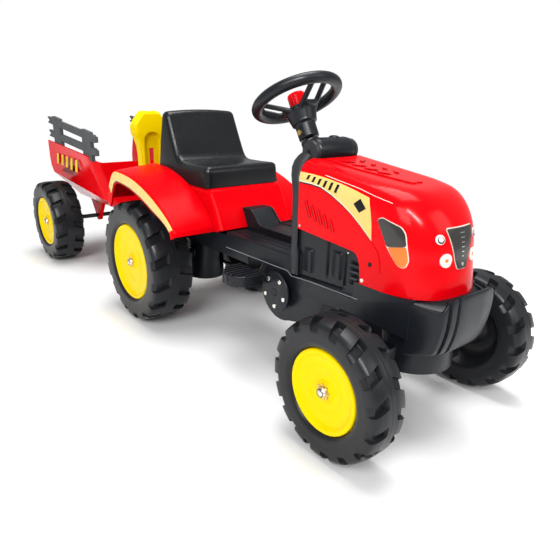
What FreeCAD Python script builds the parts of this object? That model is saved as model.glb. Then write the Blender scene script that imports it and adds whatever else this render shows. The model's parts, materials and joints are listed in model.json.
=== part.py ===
import FreeCAD, Part
import math
import os
from FreeCAD import Vector

# Child's pedal tractor with a two-wheeled trailer, in millimetres.
# The model is drawn with X forward from the rear axle, Y to the left and Z up from the floor.
# Each piece is then shifted along X so that the origin is under the middle of the whole vehicle.

# Clearances
FIT = 0.2                # between pieces of one body that are fitted together
SEAT = 0.3               # between faces that lie on each other
RUN = 0.08               # radial play of a shaft in its bearing
PLAY = 0.5               # end play beside a turning piece

# Wheels: radius, width, middle of the tyre from the centre plane, radius of the hub
FRONT_WHEEL_R = 103.0
FRONT_WHEEL_W = 62.0
FRONT_WHEEL_Y = 168.0
FRONT_HUB_R = 62.0
REAR_WHEEL_R = 130.0
REAR_WHEEL_W = 90.0
REAR_WHEEL_Y = 151.0
REAR_HUB_R = 82.0
TRAILER_WHEEL_R = 113.0
TRAILER_WHEEL_W = 80.0
TRAILER_WHEEL_Y = 165.0
TRAILER_HUB_R = 69.0
WHEELBASE = 606.0        # rear axle to front axle; places of the front half are given from the front axle
TRAILER_REACH = 556.0    # rear axle to trailer axle

# Tyres and hubs
LUG_COUNT = 18           # lugs on each half of a tyre
LUG_DEPTH = 8.0
LUG_GAP = 8.5            # degrees of the tread between two lugs
LUG_SLANT = 16.0         # degrees
TYRE_WALL = 5.0
TYRE_SHOULDER = 16.0
BEAD_TUCK = 4.0
HUB_WALL = 4.0
HUB_RIM_DEPTH = 4.0      # hub rim below the face of the tyre
HUB_DISH_DEPTH = 15.0    # hub disc below the face of the tyre
HUB_RIM_WIDTH = 11.0
HUB_BOSS_R = 15.0
HUB_BOSS_DEPTH = 9.0     # end of the boss below the face of the tyre
AXLE_R = 6.0
CAP_R = 9.0
CAP_LENGTH = 7.0
WASHER_R = 12.5
WASHER_THICKNESS = 1.5

# Chassis
WALL = 4.0
CHASSIS_HALF = 78.0      # half width of the lower chassis
SEAM_Z = 192.0           # joint between the lower and the upper chassis
CHASSIS_REAR = -272.0
CHASSIS_STEP = -61.0   # the flanks rise to the hood from here forward
CHASSIS_FRONT = 44.0
CHASSIS_LOW_Z = 112.0
ARCH_START = -136.0     # wheel arch in the flank
ARCH_TOP = -120.0
ARCH_LOW_Z = 140.0
ARCH_TOP_Z = 165.0
BUMPER_FRONT = 82.0
BUMPER_LOW_Z = 148.0
BUMPER_TOP_Z = 213.0
BUMPER_CORNER_R = 32.0
BUMPER_STEP = 6.0        # each raised step of the front face
BUMPER_STEP_HALF = 48.0
BUMPER_STEP_IN = 10.0

# Upper chassis: footboard, tunnel and engine housing
FOOT_REAR_X = -62.0
FOOT_UNDER_Z = 178.0
FOOT_Z = 222.0
ENGINE_REAR = -202.0
ENGINE_FRONT = -50.0
ENGINE_HALF = 68.0
ENGINE_TOP_Z = 300.0
TUNNEL_HALF = 26.0
TUNNEL_Z = 236.0
HUMP_Z = 264.0
HUMP_FLAT_X = 214.0      # end of the flat top of the hump
HUMP_END_X = 246.0       # foot of the hump
RIB_COUNT = 4            # ribs on each footrest
RIB_HEIGHT = 2.0
RIB_WIDTH = 3.0
PANEL_THICKNESS = 5.0    # engine side panels
PANEL_RIBS = 3

# Rear housing round the rear axle
HOUSING_R = 42.0
HOUSING_LOW_Z = 68.0
HOUSING_WALL = 3.0
BUSH_R = 10.0
BUSH_FLANGE_R = 14.0
BUSH_FLANGE = 2.0

# Chain drive
CHAIN_PITCH = 12.7
DRIVE_TEETH = 18
REAR_TEETH = 10
SPROCKET_THICKNESS = 3.0
TOOTH_HEIGHT = 3.0
CHAIN_Y = 22.0
CHAIN_WIDTH = 7.0
CHAIN_THICKNESS = 3.0
CHAIN_GAP = 0.5          # chain round the tips of the teeth
CHAIN_ROOM = 5.0         # room beside the chain where it passes a wall

# Crank and pedals
CRANK = -230.0
CRANK_Z = 155.0
CRANK_RADIUS = 66.0
CRANK_ANGLE = 165.0      # of the right pedal at rest, from forward
CRANK_BULGE_R = 55.0     # lower chassis round the crank
ARM_WIDTH = 16.0
ARM_THICKNESS = 6.0
DISC_R = 36.0
DISC_THICKNESS = 5.0
RIVET_R = 4.0
RIVET_HEIGHT = 2.0
RIVET_CIRCLE_R = 26.0
RIVET_COUNT = 5
PEDAL_LENGTH = 70.0
PEDAL_WIDTH = 56.0
PEDAL_HEIGHT = 24.0
PEDAL_ROUND = 10.0
PEDAL_RIDGES = 6
PEDAL_RIDGE = 2.0

# Steering
WHEEL_CENTRE = -293.0
WHEEL_CENTRE_Z = 473.0
COLUMN_TILT = 30.0       # of the column from upright
RIM_R = 82.0             # steering wheel, outside
RIM_TUBE_R = 10.0
HUB_TOP = 12.0           # distances down the column from the plane of the rim
HUB_END = 40.0
SLEEVE_END = 74.0
HUB_TOP_R = 29.0
HUB_END_R = 21.0
SLEEVE_R = 17.5
SPOKE_COUNT = 3
SPOKE_START = -10.0      # degrees of the first spoke from forward
SPOKE_BAR_R = 5.0
SPOKE_SPREAD = 13.0      # middle of each of the two bars of a spoke from the spoke's middle
BUTTON_R = 14.0
BUTTON_TOP = -6.0
BUTTON_TRAVEL = 3.0
BUTTON_DEPTH = 8.0       # of the button in its recess
SPRING_ROOM = 9.0        # for the spring under the button
SPRING_R = 8.0
SPRING_WIRE_R = 0.7
SPRING_PITCH = 2.4
STEERING_ROD_R = 6.0
STEERING_ARM = 42.0
STEERING_PIN_R = 5.0
STEERING_PIN_DOWN = 16.0
STEERING_PIN_PLAY = 3.0  # beside the pin in the tie rod's slot
SLOT_FORWARD = 14.0      # run of the pin along the slot
TIE_ROD_Z = 84.5
TIE_ROD_THICKNESS = 4.0
TIE_ROD_WIDTH = 16.0
TIE_PIN_R = 4.0
OPEN_PIVOT_PLAY = 0.5
KINGPIN_Y = 112.0
KINGPIN_R = 6.0
KNUCKLE_R = 12.0
KNUCKLE_HEIGHT = 44.0
KNUCKLE_ARM_WIDTH = 13.0
KNUCKLE_ARM_THICKNESS = 8.0
EAR_THICKNESS = 11.0
EAR_HALF = 14.0
DRUM_R = 61.0            # housing under the bumper
DRUM_LOW_Z = 99.0

# Hood
HOOD_REAR = -182.0
HOOD_HALF = 80.0
HOOD_WALL = 3.5
HOOD_SLOPE = 7.0         # degrees that the top falls towards the nose
NOSE = 70.0
NOSE_TOP_R = 92.0        # rounding of the nose seen from the side
NOSE_TOP_Z = 272.0       # height of the middle of that rounding
HOOD_SHOULDER_R = 32.0
HOOD_SIDE_LOW_Z = 271.0
HOOD_NOSE_LOW_Z = 221.0
HOOD_STEP = -68.0      # side edge drops to the nose from here
HOOD_STEP_END = -49.0
TRIM_THICKNESS = 2.0     # grille and lamps on the hood

# Trim of the hood: heights, and outlines as (x from the front axle, z)
GRILLE_TOP_Z = 317.0
GRILLE_LOW_Z = 261.0
GRILLE_TOP_HALF = 28.0
GRILLE_LOW_HALF = 10.0
HEAD_LAMP_Y = 36.0
HEAD_LAMP_Z = 276.0
HEAD_LAMP_R = 9.0
MARKER_LAMP_Y = 45.0
MARKER_LAMP_Z = 306.0
MARKER_LAMP_R = 7.0
LENS_OUTLINE = [(-23, 322), (-15, 326), (14, 318), (21, 310), (25, 293), (-3, 288)]
INDICATOR_OUTLINE = [(-1, 287), (25, 291.5), (29, 274), (26, 264), (18, 264), (12, 269)]
HOOD_SCREWS = [(-31, 255), (-42, 229)]
SCREW_HEAD_R = 4.5
SCREW_HEAD = 2.0
SCREW_R = 2.0
SCREW_LENGTH = 6.0
LOUVRE_COUNT = 5
LOUVRE = -167.5         # middle of the rearmost louvre
LOUVRE_Z = 310.5
LOUVRE_PITCH = 13.6
LOUVRE_FALL = 4.1        # each louvre lies lower than the one behind it
LOUVRE_LENGTH = 29.0
LOUVRE_SHORTER = 2.3     # each louvre is shorter than the one behind it
LOUVRE_WIDTH = 3.5
LOUVRE_LEAN = 24.0       # degrees from upright

# Dash console behind the hood
BARREL = -204.0
BARREL_Z = 395.0
BARREL_R = 19.0
BARREL_HALF = 47.0
STRIP_REAR = -202.0
STRIP_TOP_Z = 378.0
STRIP_THICKNESS = 8.0
DASH_PANEL = 6.0
COLLAR_R = 16.0
COLLAR_END = 184.0       # distance down the column from the plane of the rim
SADDLE_DEPTH = 14.0      # between the barrel and the collar
CONSOLE_SCREW_R = 4.0
CONSOLE_SCREW = 3.0
CONSOLE_HOLE = 8.0

# Rear body with its fenders
BODY_HALF = 90.0
BODY_WALL = 4.0
BODY_REAR_X = -128.0
BODY_FLOOR_Z = 218.0
BODY_TOP_Z = 301.0
BODY_FRONT_TOP_X = 165.0
BODY_FRONT_LOW_X = 205.0
FENDER_R = 205.0
FENDER_HALF = 180.0
FENDER_FRONT = 26.0      # degrees from forward to the front edge
FENDER_REAR = 136.0      # degrees from forward to the rear edge
FENDER_LIP = 18.0
POCKET_HEIGHT = 40.0     # holder for the shovel on the rear wall

# Seat
SEAT_HALF = 85.0
SEAT_REAR_X = -52.0
SEAT_FRONT_X = 156.0
SEAT_PAN_Z = 343.0
SEAT_DIP_Z = 334.0
SEAT_BACK_LOW_X = 20.0
SEAT_BACK_TOP_X = -8.0
SEAT_TOP_Z = 440.0
SEAT_BACK_THICKNESS = 36.0
SEAT_TOP_HALF = 80.0
SEAT_WALL = 4.0
SEAT_ROUND = 9.0

# Shovel behind the seat
SHOVEL_X = -150.0
SHOVEL_Y = -50.0
SHOVEL_THICKNESS = 5.0
SHOVEL_FLANGE = 14.0
SHOVEL_LOW_Z = 252.0
SHOVEL_STEM_Z = 357.0
SHOVEL_WIDE_Z = 398.0
SHOVEL_TOP_Z = 436.0
SHOVEL_STEM_HALF = 34.0
SHOVEL_WIDE_HALF = 48.0
SHOVEL_TIP_HALF = 22.0
SHOVEL_SLOT_HALF = 7.0
SHOVEL_SLOT_TOP_Z = 350.0

# Hitch
HITCH_X = -150.0
HITCH_PIN_R = 6.0
HITCH_HALF = 18.0
TONGUE_Z = 116.0
TONGUE_THICKNESS = 8.0
HITCH_HEAD_R = 11.0
HITCH_HEAD = 4.0

# Trailer
TUB_FRONT_X = -325.0
TUB_REAR_X = -660.0
TUB_WALL = 4.0
TUB_END_Z = 300.0        # top of the front wall
TUB_TAIL_Z = 238.0       # top of the low rear wall
TUB_REAR_TOP = (137.0, 333.0)
TUB_REAR_WAIST = (132.0, 240.0)
TUB_FRONT_TOP = (137.0, 314.0)
TUB_FRONT_WAIST = (98.0, 195.0)
TUB_FLOOR_HALF = 60.0
TUB_FLOOR_Z = 166.0
DRAWBAR_HALF = 15.0
DRAWBAR_THICKNESS = 12.0
DRAWBAR_END_X = -470.0
BRACKET_Y = 40.0
BRACKET_THICKNESS = 10.0
BRACKET_TOP_HALF = 52.0
BRACKET_EYE_R = 15.0
FENCE_THICKNESS = 10.0
FENCE_POST_WIDTH = 42.0
FENCE_RAIL_HEIGHT = 20.0
FENCE_HEIGHT = 76.0      # of the posts above the rim of the tub
FENCE_GAP = 11.0         # between the tub and the lower rail
FENCE_RAIL_GAP = 17.0
FENCE_REAR_X = -640.0
FENCE_FRONT_X = -275.0
FENCE_REAR_POST_X = -560.0
FENCE_FRONT_POST_X = -345.0
FENCE_NOTCH = 10.0
FENCE_PEG = 14.0         # peg of a post inside the tub

# Places that follow from the sizes above
CHASSIS_REAR_X = WHEELBASE + CHASSIS_REAR
CHASSIS_STEP_X = WHEELBASE + CHASSIS_STEP
CHASSIS_FRONT_X = WHEELBASE + CHASSIS_FRONT
ARCH_START_X = WHEELBASE + ARCH_START
ARCH_TOP_X = WHEELBASE + ARCH_TOP
BUMPER_FRONT_X = WHEELBASE + BUMPER_FRONT
ENGINE_REAR_X = WHEELBASE + ENGINE_REAR
ENGINE_FRONT_X = WHEELBASE + ENGINE_FRONT
CRANK_X = WHEELBASE + CRANK
WHEEL_CENTRE_X = WHEELBASE + WHEEL_CENTRE
HOOD_REAR_X = WHEELBASE + HOOD_REAR
NOSE_X = WHEELBASE + NOSE
HOOD_STEP_X = WHEELBASE + HOOD_STEP
HOOD_STEP_END_X = WHEELBASE + HOOD_STEP_END
LOUVRE_X = WHEELBASE + LOUVRE
BARREL_X = WHEELBASE + BARREL
STRIP_REAR_X = WHEELBASE + STRIP_REAR
FRONT_END_X = WHEELBASE + FRONT_WHEEL_R
TRAILER_END_X = -TRAILER_REACH - TRAILER_WHEEL_R
REAR_AXLE_X = -(FRONT_END_X + TRAILER_END_X) / 2
AXIS_Y = Vector(0, 1, 0)
AXIS_Z = Vector(0, 0, 1)
TILT = math.radians(COLUMN_TILT)
WHEEL_CENTRE = Vector(WHEEL_CENTRE_X, 0, WHEEL_CENTRE_Z)
COLUMN_UP = Vector(-math.sin(TILT), 0, math.cos(TILT))
COLUMN_FORE = Vector(math.cos(TILT), 0, math.sin(TILT))
PIN_TO_HUB_Z = STEERING_ARM * math.sin(TILT)
ARM_HUB_Z = TIE_ROD_Z + PIN_TO_HUB_Z
ARM_HUB_DOWN = (WHEEL_CENTRE_Z - ARM_HUB_Z) / math.cos(TILT)
PIN_X = WHEEL_CENTRE_X + ARM_HUB_DOWN * math.sin(TILT) - STEERING_ARM * math.cos(TILT)
KNUCKLE_ARM = WHEELBASE - PIN_X
DRIVE_R = CHAIN_PITCH / (2 * math.sin(math.pi / DRIVE_TEETH))
REAR_R = CHAIN_PITCH / (2 * math.sin(math.pi / REAR_TEETH))
CHAIN_REACH = TOOTH_HEIGHT + CHAIN_GAP + CHAIN_THICKNESS


def block(x_low, x_high, y_low, y_high, z_low, z_high):
    corner = Vector(x_low, y_low, z_low)
    return Part.makeBox(x_high - x_low, y_high - y_low, z_high - z_low, corner)


def rod(radius, start, end):
    return Part.makeCylinder(radius, (end - start).Length, start, end - start)


def across(radius, x, z, y_low, y_high):
    return rod(radius, Vector(x, y_low, z), Vector(x, y_high, z))


def upright(radius, x, y, z_low, z_high):
    return rod(radius, Vector(x, y, z_low), Vector(x, y, z_high))


def side_plate(points, y_low, y_high):
    """A plate with an outline of (x, z) points, between two places across the vehicle."""
    corners = [Vector(x, y_low, z) for x, z in points]
    face = Part.Face(Part.makePolygon(corners + corners[:1]))
    return face.extrude(Vector(0, y_high - y_low, 0))


def end_plate(points, x_low, x_high):
    """A plate with an outline of (y, z) points, between two places along the vehicle."""
    corners = [Vector(x_low, y, z) for y, z in points]
    face = Part.Face(Part.makePolygon(corners + corners[:1]))
    return face.extrude(Vector(x_high - x_low, 0, 0))


def spun(points):
    """A turned piece from (radius, offset) points about the Y axis."""
    corners = [Vector(radius, offset, 0) for radius, offset in points]
    face = Part.Face(Part.makePolygon(corners + corners[:1]))
    return face.revolve(Vector(0, 0, 0), AXIS_Y, 360)


def join(*shapes):
    return shapes[0].multiFuse(list(shapes[1:])).removeSplitter()


def carve(shape, *tools):
    return shape.cut(list(tools))


def mirrored(shape):
    return shape.mirror(Vector(0, 0, 0), AXIS_Y)


def turned(shape, angle, centre, axis):
    copy = shape.copy()
    copy.rotate(centre, axis, angle)
    return copy


def placed(shape, x, y, z):
    copy = shape.copy()
    copy.translate(Vector(x, y, z))
    return copy


def down_column(distance):
    """The point on the steering axis at a distance below the plane of the rim."""
    return WHEEL_CENTRE - COLUMN_UP * distance


def save(name, *shapes):
    """Writes one node, whose solids stay separate."""
    solids = []
    for shape in shapes:
        moved = placed(shape, REAR_AXLE_X, 0, 0)
        solids.extend(moved.Solids)
    for solid in solids:
        if not solid.isValid():
            raise ValueError(name + " is not a valid solid")
    whole = solids[0] if len(solids) == 1 else Part.makeCompound(solids)
    whole.exportStep(os.path.join("parts", name + ".step"))
    print(name, len(solids), round(sum(solid.Volume for solid in solids)))


# Wheels

def lug_gaps(radius, half):
    """The gaps between the lugs, staggered on the two halves of the tread."""
    width = math.radians(LUG_GAP) * radius
    gap = block(-width / 2, width / 2, FIT, half * 2, radius - LUG_DEPTH, radius + LUG_DEPTH)
    outer = turned(gap, LUG_SLANT, Vector(0, 0, radius), AXIS_Z)
    inner = mirrored(outer)
    step = 360.0 / LUG_COUNT
    gaps = []
    for index in range(LUG_COUNT):
        gaps.append(turned(outer, (index + 0.5) * step, Vector(0, 0, 0), AXIS_Y))
        gaps.append(turned(inner, index * step, Vector(0, 0, 0), AXIS_Y))
    return gaps


def tyre(radius, width, bead):
    """A hollow moulded tyre with its middle at the origin."""
    half = width / 2
    lip = half - BEAD_TUCK - TYRE_WALL
    crown = radius - LUG_DEPTH - TYRE_WALL
    shoulder = radius - TYRE_SHOULDER
    outside = [(bead, -half + BEAD_TUCK), (bead + BEAD_TUCK, -half), (shoulder, -half)]
    outside += [(radius, -half + TYRE_SHOULDER), (radius, half - TYRE_SHOULDER)]
    outside += [(shoulder, half), (bead + BEAD_TUCK, half), (bead, half - BEAD_TUCK)]
    inside = [(bead, lip), (crown, lip), (crown, -lip), (bead, -lip)]
    return carve(spun(outside + inside), *lug_gaps(radius, half))


def hub(radius, width, bore, boss_inner):
    """A dished hub with its outer face towards +Y."""
    half = width / 2
    rim = radius - FIT
    rim_face = half - HUB_RIM_DEPTH
    dish = half - HUB_DISH_DEPTH
    dish_r = rim - HUB_RIM_WIDTH
    boss_face = half - HUB_BOSS_DEPTH
    back = -half + HUB_RIM_DEPTH
    face = [(bore, boss_face), (HUB_BOSS_R, boss_face), (HUB_BOSS_R, dish), (dish_r - HUB_DISH_DEPTH, dish)]
    face += [(dish_r, rim_face - HUB_WALL), (dish_r, rim_face), (rim, rim_face), (rim, back)]
    rear = [(rim - HUB_WALL, back), (rim - HUB_WALL, dish - HUB_WALL), (HUB_BOSS_R, dish - HUB_WALL)]
    rear += [(HUB_BOSS_R, boss_inner), (bore, boss_inner)]
    return spun(face + rear)


def axle_cap(face):
    """A washer and a push-on cap over the end of an axle, from the face of the boss outwards."""
    bore = AXLE_R + FIT
    start = face + SEAT
    washer = start + WASHER_THICKNESS
    end = washer + CAP_LENGTH
    inner_end = end - WASHER_THICKNESS
    points = [(bore, start), (WASHER_R, start), (WASHER_R, washer), (CAP_R, washer)]
    points += [(CAP_R, end - WASHER_THICKNESS), (CAP_R - WASHER_THICKNESS, end), (0, end)]
    points += [(0, inner_end), (bore, inner_end)]
    return spun(points)


def cap_bottom(width):
    """The inside of the cap, where the axle ends, from the middle of the tyre."""
    return width / 2 - HUB_BOSS_DEPTH + SEAT + CAP_LENGTH - FIT


def front_wheels():
    half = FRONT_WHEEL_W / 2
    boss_inner = KINGPIN_Y + KNUCKLE_R + PLAY - FRONT_WHEEL_Y
    pieces = {}
    pieces["front_tyre"] = tyre(FRONT_WHEEL_R, FRONT_WHEEL_W, FRONT_HUB_R)
    pieces["front_hub"] = hub(FRONT_HUB_R, FRONT_WHEEL_W, AXLE_R + RUN, boss_inner)
    pieces["front_cap"] = axle_cap(half - HUB_BOSS_DEPTH)
    for name, shape in pieces.items():
        left = placed(shape, WHEELBASE, FRONT_WHEEL_Y, FRONT_WHEEL_R)
        save(name + "_left", left)
        save(name + "_right", mirrored(left))


def rear_wheels():
    half = REAR_WHEEL_W / 2
    pieces = {}
    pieces["rear_tyre"] = tyre(REAR_WHEEL_R, REAR_WHEEL_W, REAR_HUB_R)
    pieces["rear_hub"] = hub(REAR_HUB_R, REAR_WHEEL_W, AXLE_R + FIT, -half)
    for name, shape in pieces.items():
        left = placed(shape, 0, REAR_WHEEL_Y, REAR_WHEEL_R)
        save(name + "_left", left)
        save(name + "_right", mirrored(left))
    cap = placed(axle_cap(half - HUB_BOSS_DEPTH), 0, REAR_WHEEL_Y, REAR_WHEEL_R)
    save("rear_caps", cap, mirrored(cap))


def trailer_wheels():
    half = TRAILER_WHEEL_W / 2
    pieces = {}
    pieces["trailer_tyre"] = tyre(TRAILER_WHEEL_R, TRAILER_WHEEL_W, TRAILER_HUB_R)
    pieces["trailer_hub"] = hub(TRAILER_HUB_R, TRAILER_WHEEL_W, AXLE_R + RUN, -half)
    for name, shape in pieces.items():
        left = placed(shape, -TRAILER_REACH, TRAILER_WHEEL_Y, TRAILER_WHEEL_R)
        save(name + "_left", left)
        save(name + "_right", mirrored(left))
    cap = placed(axle_cap(half - HUB_BOSS_DEPTH), -TRAILER_REACH, TRAILER_WHEEL_Y, TRAILER_WHEEL_R)
    save("trailer_caps", cap, mirrored(cap))


# Chassis

def lower_outline(inset):
    """The flank of the lower chassis, drawn in by a wall."""
    rim = HOOD_NOSE_LOW_Z - SEAT
    rear = CHASSIS_REAR_X + inset
    front = CHASSIS_FRONT_X - inset
    step = CHASSIS_STEP_X + inset
    points = [(rear, SEAM_Z), (rear, CRANK_Z), (CRANK_X, CRANK_Z - CRANK_BULGE_R + inset)]
    points += [(CRANK_X + CRANK_BULGE_R, CHASSIS_LOW_Z + inset), (ARCH_START_X, ARCH_LOW_Z + inset)]
    points += [(ARCH_TOP_X, ARCH_TOP_Z + inset), (front, ARCH_TOP_Z + inset)]
    points += [(front, rim), (step, rim), (step, SEAM_Z)]
    return points


def chain_window(low):
    """Room for the chain through the walls on its way from the rear axle to the crank."""
    half = CHAIN_WIDTH / 2 + CHAIN_ROOM
    return block(-REAR_R, CRANK_X, CHAIN_Y - half, CHAIN_Y + half, low - CHAIN_REACH - CHAIN_ROOM, SEAM_Z)


def lower_chassis():
    half = CHASSIS_HALF
    outer = side_plate(lower_outline(0), -half, half)
    bulge = across(CRANK_BULGE_R, CRANK_X, CRANK_Z, -half, half)
    below_seam = block(CHASSIS_REAR_X - CRANK_BULGE_R, CHASSIS_FRONT_X, -half, half, 0, SEAM_Z)
    outer = join(outer, bulge.common(below_seam))
    inner_half = half - WALL
    top = HOOD_NOSE_LOW_Z + WALL
    inner = side_plate(lower_outline(WALL), -inner_half, inner_half)
    inner_bulge = across(CRANK_BULGE_R - WALL, CRANK_X, CRANK_Z, -inner_half, inner_half)
    room = block(CHASSIS_REAR_X - CRANK_BULGE_R, CHASSIS_FRONT_X, -half, half, 0, SEAM_Z)
    rear_top = block(CHASSIS_REAR_X - WALL, CHASSIS_STEP_X + WALL, -inner_half, inner_half, SEAM_Z - WALL, top)
    front_top = block(CHASSIS_STEP_X, CHASSIS_FRONT_X - WALL, -inner_half, inner_half, SEAM_Z, top)
    shell = carve(outer, inner, inner_bulge.common(room), rear_top, front_top)
    boss_top = down_column((WHEEL_CENTRE_Z - ARCH_TOP_Z) / math.cos(TILT) - COLLAR_R * 2)
    boss_end = down_column((WHEEL_CENTRE_Z - ARCH_TOP_Z) / math.cos(TILT) + COLLAR_R)
    rim = HOOD_NOSE_LOW_Z - SEAT
    deck = block(NOSE_X - HOOD_HALF, CHASSIS_FRONT_X, -half, half, rim - WALL, rim)
    shell = join(shell, rod(COLLAR_R, boss_top, boss_end), deck)
    bore = rod(STEERING_ROD_R + RUN, down_column(0), down_column(ARM_HUB_DOWN))
    bush_hole = across(BUSH_R + FIT, CRANK_X, CRANK_Z, -half * 2, half * 2)
    return carve(shell, bore, bush_hole, chain_window(CRANK_Z - DRIVE_R))


def tunnel_outline(inset):
    """The tunnel between the feet, with its hump in front of the seat."""
    lean = (BODY_FRONT_LOW_X - BODY_FRONT_TOP_X) / (BODY_TOP_Z - BODY_FLOOR_Z)
    low = BODY_FRONT_LOW_X + PLAY + inset
    high = low - (HUMP_Z - BODY_FLOOR_Z) * lean
    points = [(low, FOOT_UNDER_Z - inset), (low, BODY_FLOOR_Z), (high, HUMP_Z - inset)]
    points += [(HUMP_FLAT_X - inset, HUMP_Z - inset), (HUMP_END_X - inset, TUNNEL_Z - inset)]
    points += [(ENGINE_REAR_X + inset, TUNNEL_Z - inset), (ENGINE_REAR_X + inset, FOOT_UNDER_Z - inset)]
    return points


def foot_outline(inset):
    """The footboard, with a lower deck under the rear body."""
    rear = FOOT_REAR_X + inset
    step = BODY_FRONT_LOW_X + PLAY + inset
    front = ENGINE_REAR_X - inset
    deck = BODY_FLOOR_Z - SEAT - inset
    points = [(rear, FOOT_UNDER_Z - inset), (rear, deck), (step, deck), (step, FOOT_Z - inset)]
    points += [(front, FOOT_Z - inset), (front, FOOT_UNDER_Z - inset)]
    return points


def foot_ribs():
    """Ribs along each footrest."""
    start = BODY_FRONT_LOW_X + RIB_WIDTH * 4
    end = STRIP_REAR_X - RIB_WIDTH * 4
    pitch = (CHASSIS_HALF - TUNNEL_HALF) / (RIB_COUNT + 1)
    ribs = []
    for index in range(RIB_COUNT):
        low = TUNNEL_HALF + (index + 1) * pitch - RIB_WIDTH / 2
        rib = block(start, end, low, low + RIB_WIDTH, FOOT_Z - RIB_HEIGHT, FOOT_Z + RIB_HEIGHT)
        ribs += [rib, mirrored(rib)]
    return ribs


def upper_chassis():
    half = CHASSIS_HALF
    engine = block(ENGINE_REAR_X, ENGINE_FRONT_X, -ENGINE_HALF, ENGINE_HALF, SEAM_Z, ENGINE_TOP_Z)
    foot = side_plate(foot_outline(0), -half, half)
    tunnel = side_plate(tunnel_outline(0), -TUNNEL_HALF, TUNNEL_HALF)
    clear_front = block(CHASSIS_REAR_X - CRANK_BULGE_R, ENGINE_FRONT_X, -half, half, 0, SEAM_Z)
    outer = carve(join(foot, tunnel, engine, *foot_ribs()), clear_front)
    inner_tunnel = side_plate(tunnel_outline(WALL), -TUNNEL_HALF + WALL, TUNNEL_HALF - WALL)
    inner_foot = side_plate(foot_outline(WALL), -half + WALL, half - WALL)
    inner_engine = block(ENGINE_REAR_X + WALL, ENGINE_FRONT_X - WALL, -ENGINE_HALF + WALL, ENGINE_HALF - WALL,
                         SEAM_Z - WALL, ENGINE_TOP_Z - WALL)
    clearance = STEERING_ROD_R + WALL
    rod_room = rod(clearance, down_column(SLEEVE_END), down_column(ARM_HUB_DOWN))
    shell = carve(outer, inner_tunnel, inner_foot, inner_engine, rod_room)
    deck = block(FOOT_REAR_X, HOUSING_R + WALL, -half, half, FOOT_UNDER_Z, FOOT_UNDER_Z + WALL)
    return join(shell, deck)


def rear_housing():
    """The round housing of the rear axle and the sprocket, with the tongue of the hitch."""
    top = FOOT_UNDER_Z - SEAT
    wall = HOUSING_WALL
    outer = upright(HOUSING_R, 0, 0, HOUSING_LOW_Z, top)
    inner = upright(HOUSING_R - wall, 0, 0, HOUSING_LOW_Z + wall, top + wall)
    tongue_top = TONGUE_Z + TONGUE_THICKNESS
    tongue = block(HITCH_X, -HOUSING_R + wall * 2, -HITCH_HALF, HITCH_HALF, TONGUE_Z, tongue_top)
    tongue_end = upright(HITCH_HALF, HITCH_X, 0, TONGUE_Z, tongue_top)
    boss = across(BUSH_FLANGE_R + wall, 0, REAR_WHEEL_R, HOUSING_R - wall * 2, HOUSING_R)
    shell = join(carve(outer, inner), tongue, tongue_end, boss, mirrored(boss))
    pin_hole = upright(HITCH_PIN_R + FIT, HITCH_X, 0, 0, SEAM_Z)
    bush_hole = across(BUSH_R + FIT, 0, REAR_WHEEL_R, -HOUSING_R * 2, HOUSING_R * 2)
    return carve(shell, pin_hole, bush_hole, chain_window(REAR_WHEEL_R - REAR_R))


def rounded_plan(half, rear, front, corner, z_low, z_high):
    """A block whose two front corners are rounded seen from above."""
    body = block(rear, front - corner, -half, half, z_low, z_high)
    nose = block(front - corner, front, -half + corner, half - corner, z_low, z_high)
    left = upright(corner, front - corner, half - corner, z_low, z_high)
    limits = block(rear, front, -half, half, z_low, z_high)
    return join(body, nose, left, mirrored(left)).common(limits)


def front_bumper():
    rear = CHASSIS_FRONT_X + SEAT
    outer = rounded_plan(CHASSIS_HALF, rear, BUMPER_FRONT_X, BUMPER_CORNER_R, BUMPER_LOW_Z, BUMPER_TOP_Z)
    steps = []
    for index in range(2):
        half = BUMPER_STEP_HALF - index * BUMPER_STEP_IN
        front = BUMPER_FRONT_X + (index + 1) * BUMPER_STEP
        steps.append(block(BUMPER_FRONT_X - WALL, front, -half, half, BUMPER_LOW_Z, BUMPER_TOP_Z))
    inner = rounded_plan(CHASSIS_HALF - WALL, rear + WALL, BUMPER_FRONT_X - WALL, BUMPER_CORNER_R - WALL,
                         BUMPER_LOW_Z - WALL, BUMPER_TOP_Z - WALL)
    drum_room = upright(DRUM_R + SEAT, WHEELBASE, 0, DRUM_LOW_Z, ARCH_TOP_Z)
    return carve(join(outer, *steps), inner, drum_room)


def front_axle_beam():
    """The round housing under the chassis with a fork for each steering knuckle."""
    top = ARCH_TOP_Z - SEAT
    drum = upright(DRUM_R, WHEELBASE, 0, DRUM_LOW_Z, top)
    drum_room = upright(DRUM_R - WALL, WHEELBASE, 0, DRUM_LOW_Z - WALL, top - WALL)
    knuckle_low = FRONT_WHEEL_R - KNUCKLE_HEIGHT / 2
    knuckle_high = FRONT_WHEEL_R + KNUCKLE_HEIGHT / 2
    fork_low = knuckle_low - PLAY - EAR_THICKNESS
    fork_high = knuckle_high + PLAY + EAR_THICKNESS
    inner_y = DRUM_R - WALL
    web_y = KINGPIN_Y - KNUCKLE_R - EAR_THICKNESS
    low_x = WHEELBASE - EAR_HALF
    high_x = WHEELBASE + EAR_HALF
    web = block(low_x, high_x, inner_y, web_y, fork_low, fork_high)
    forks = [web, mirrored(web)]
    for low in (fork_low, fork_high - EAR_THICKNESS):
        ear = block(low_x, high_x, inner_y, KINGPIN_Y, low, low + EAR_THICKNESS)
        tip = upright(EAR_HALF, WHEELBASE, KINGPIN_Y, low, low + EAR_THICKNESS)
        forks += [ear, mirrored(ear), tip, mirrored(tip)]
    hole = upright(KINGPIN_R + FIT, WHEELBASE, KINGPIN_Y, 0, ARCH_TOP_Z)
    return carve(join(carve(drum, drum_room), *forks), hole, mirrored(hole))


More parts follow.
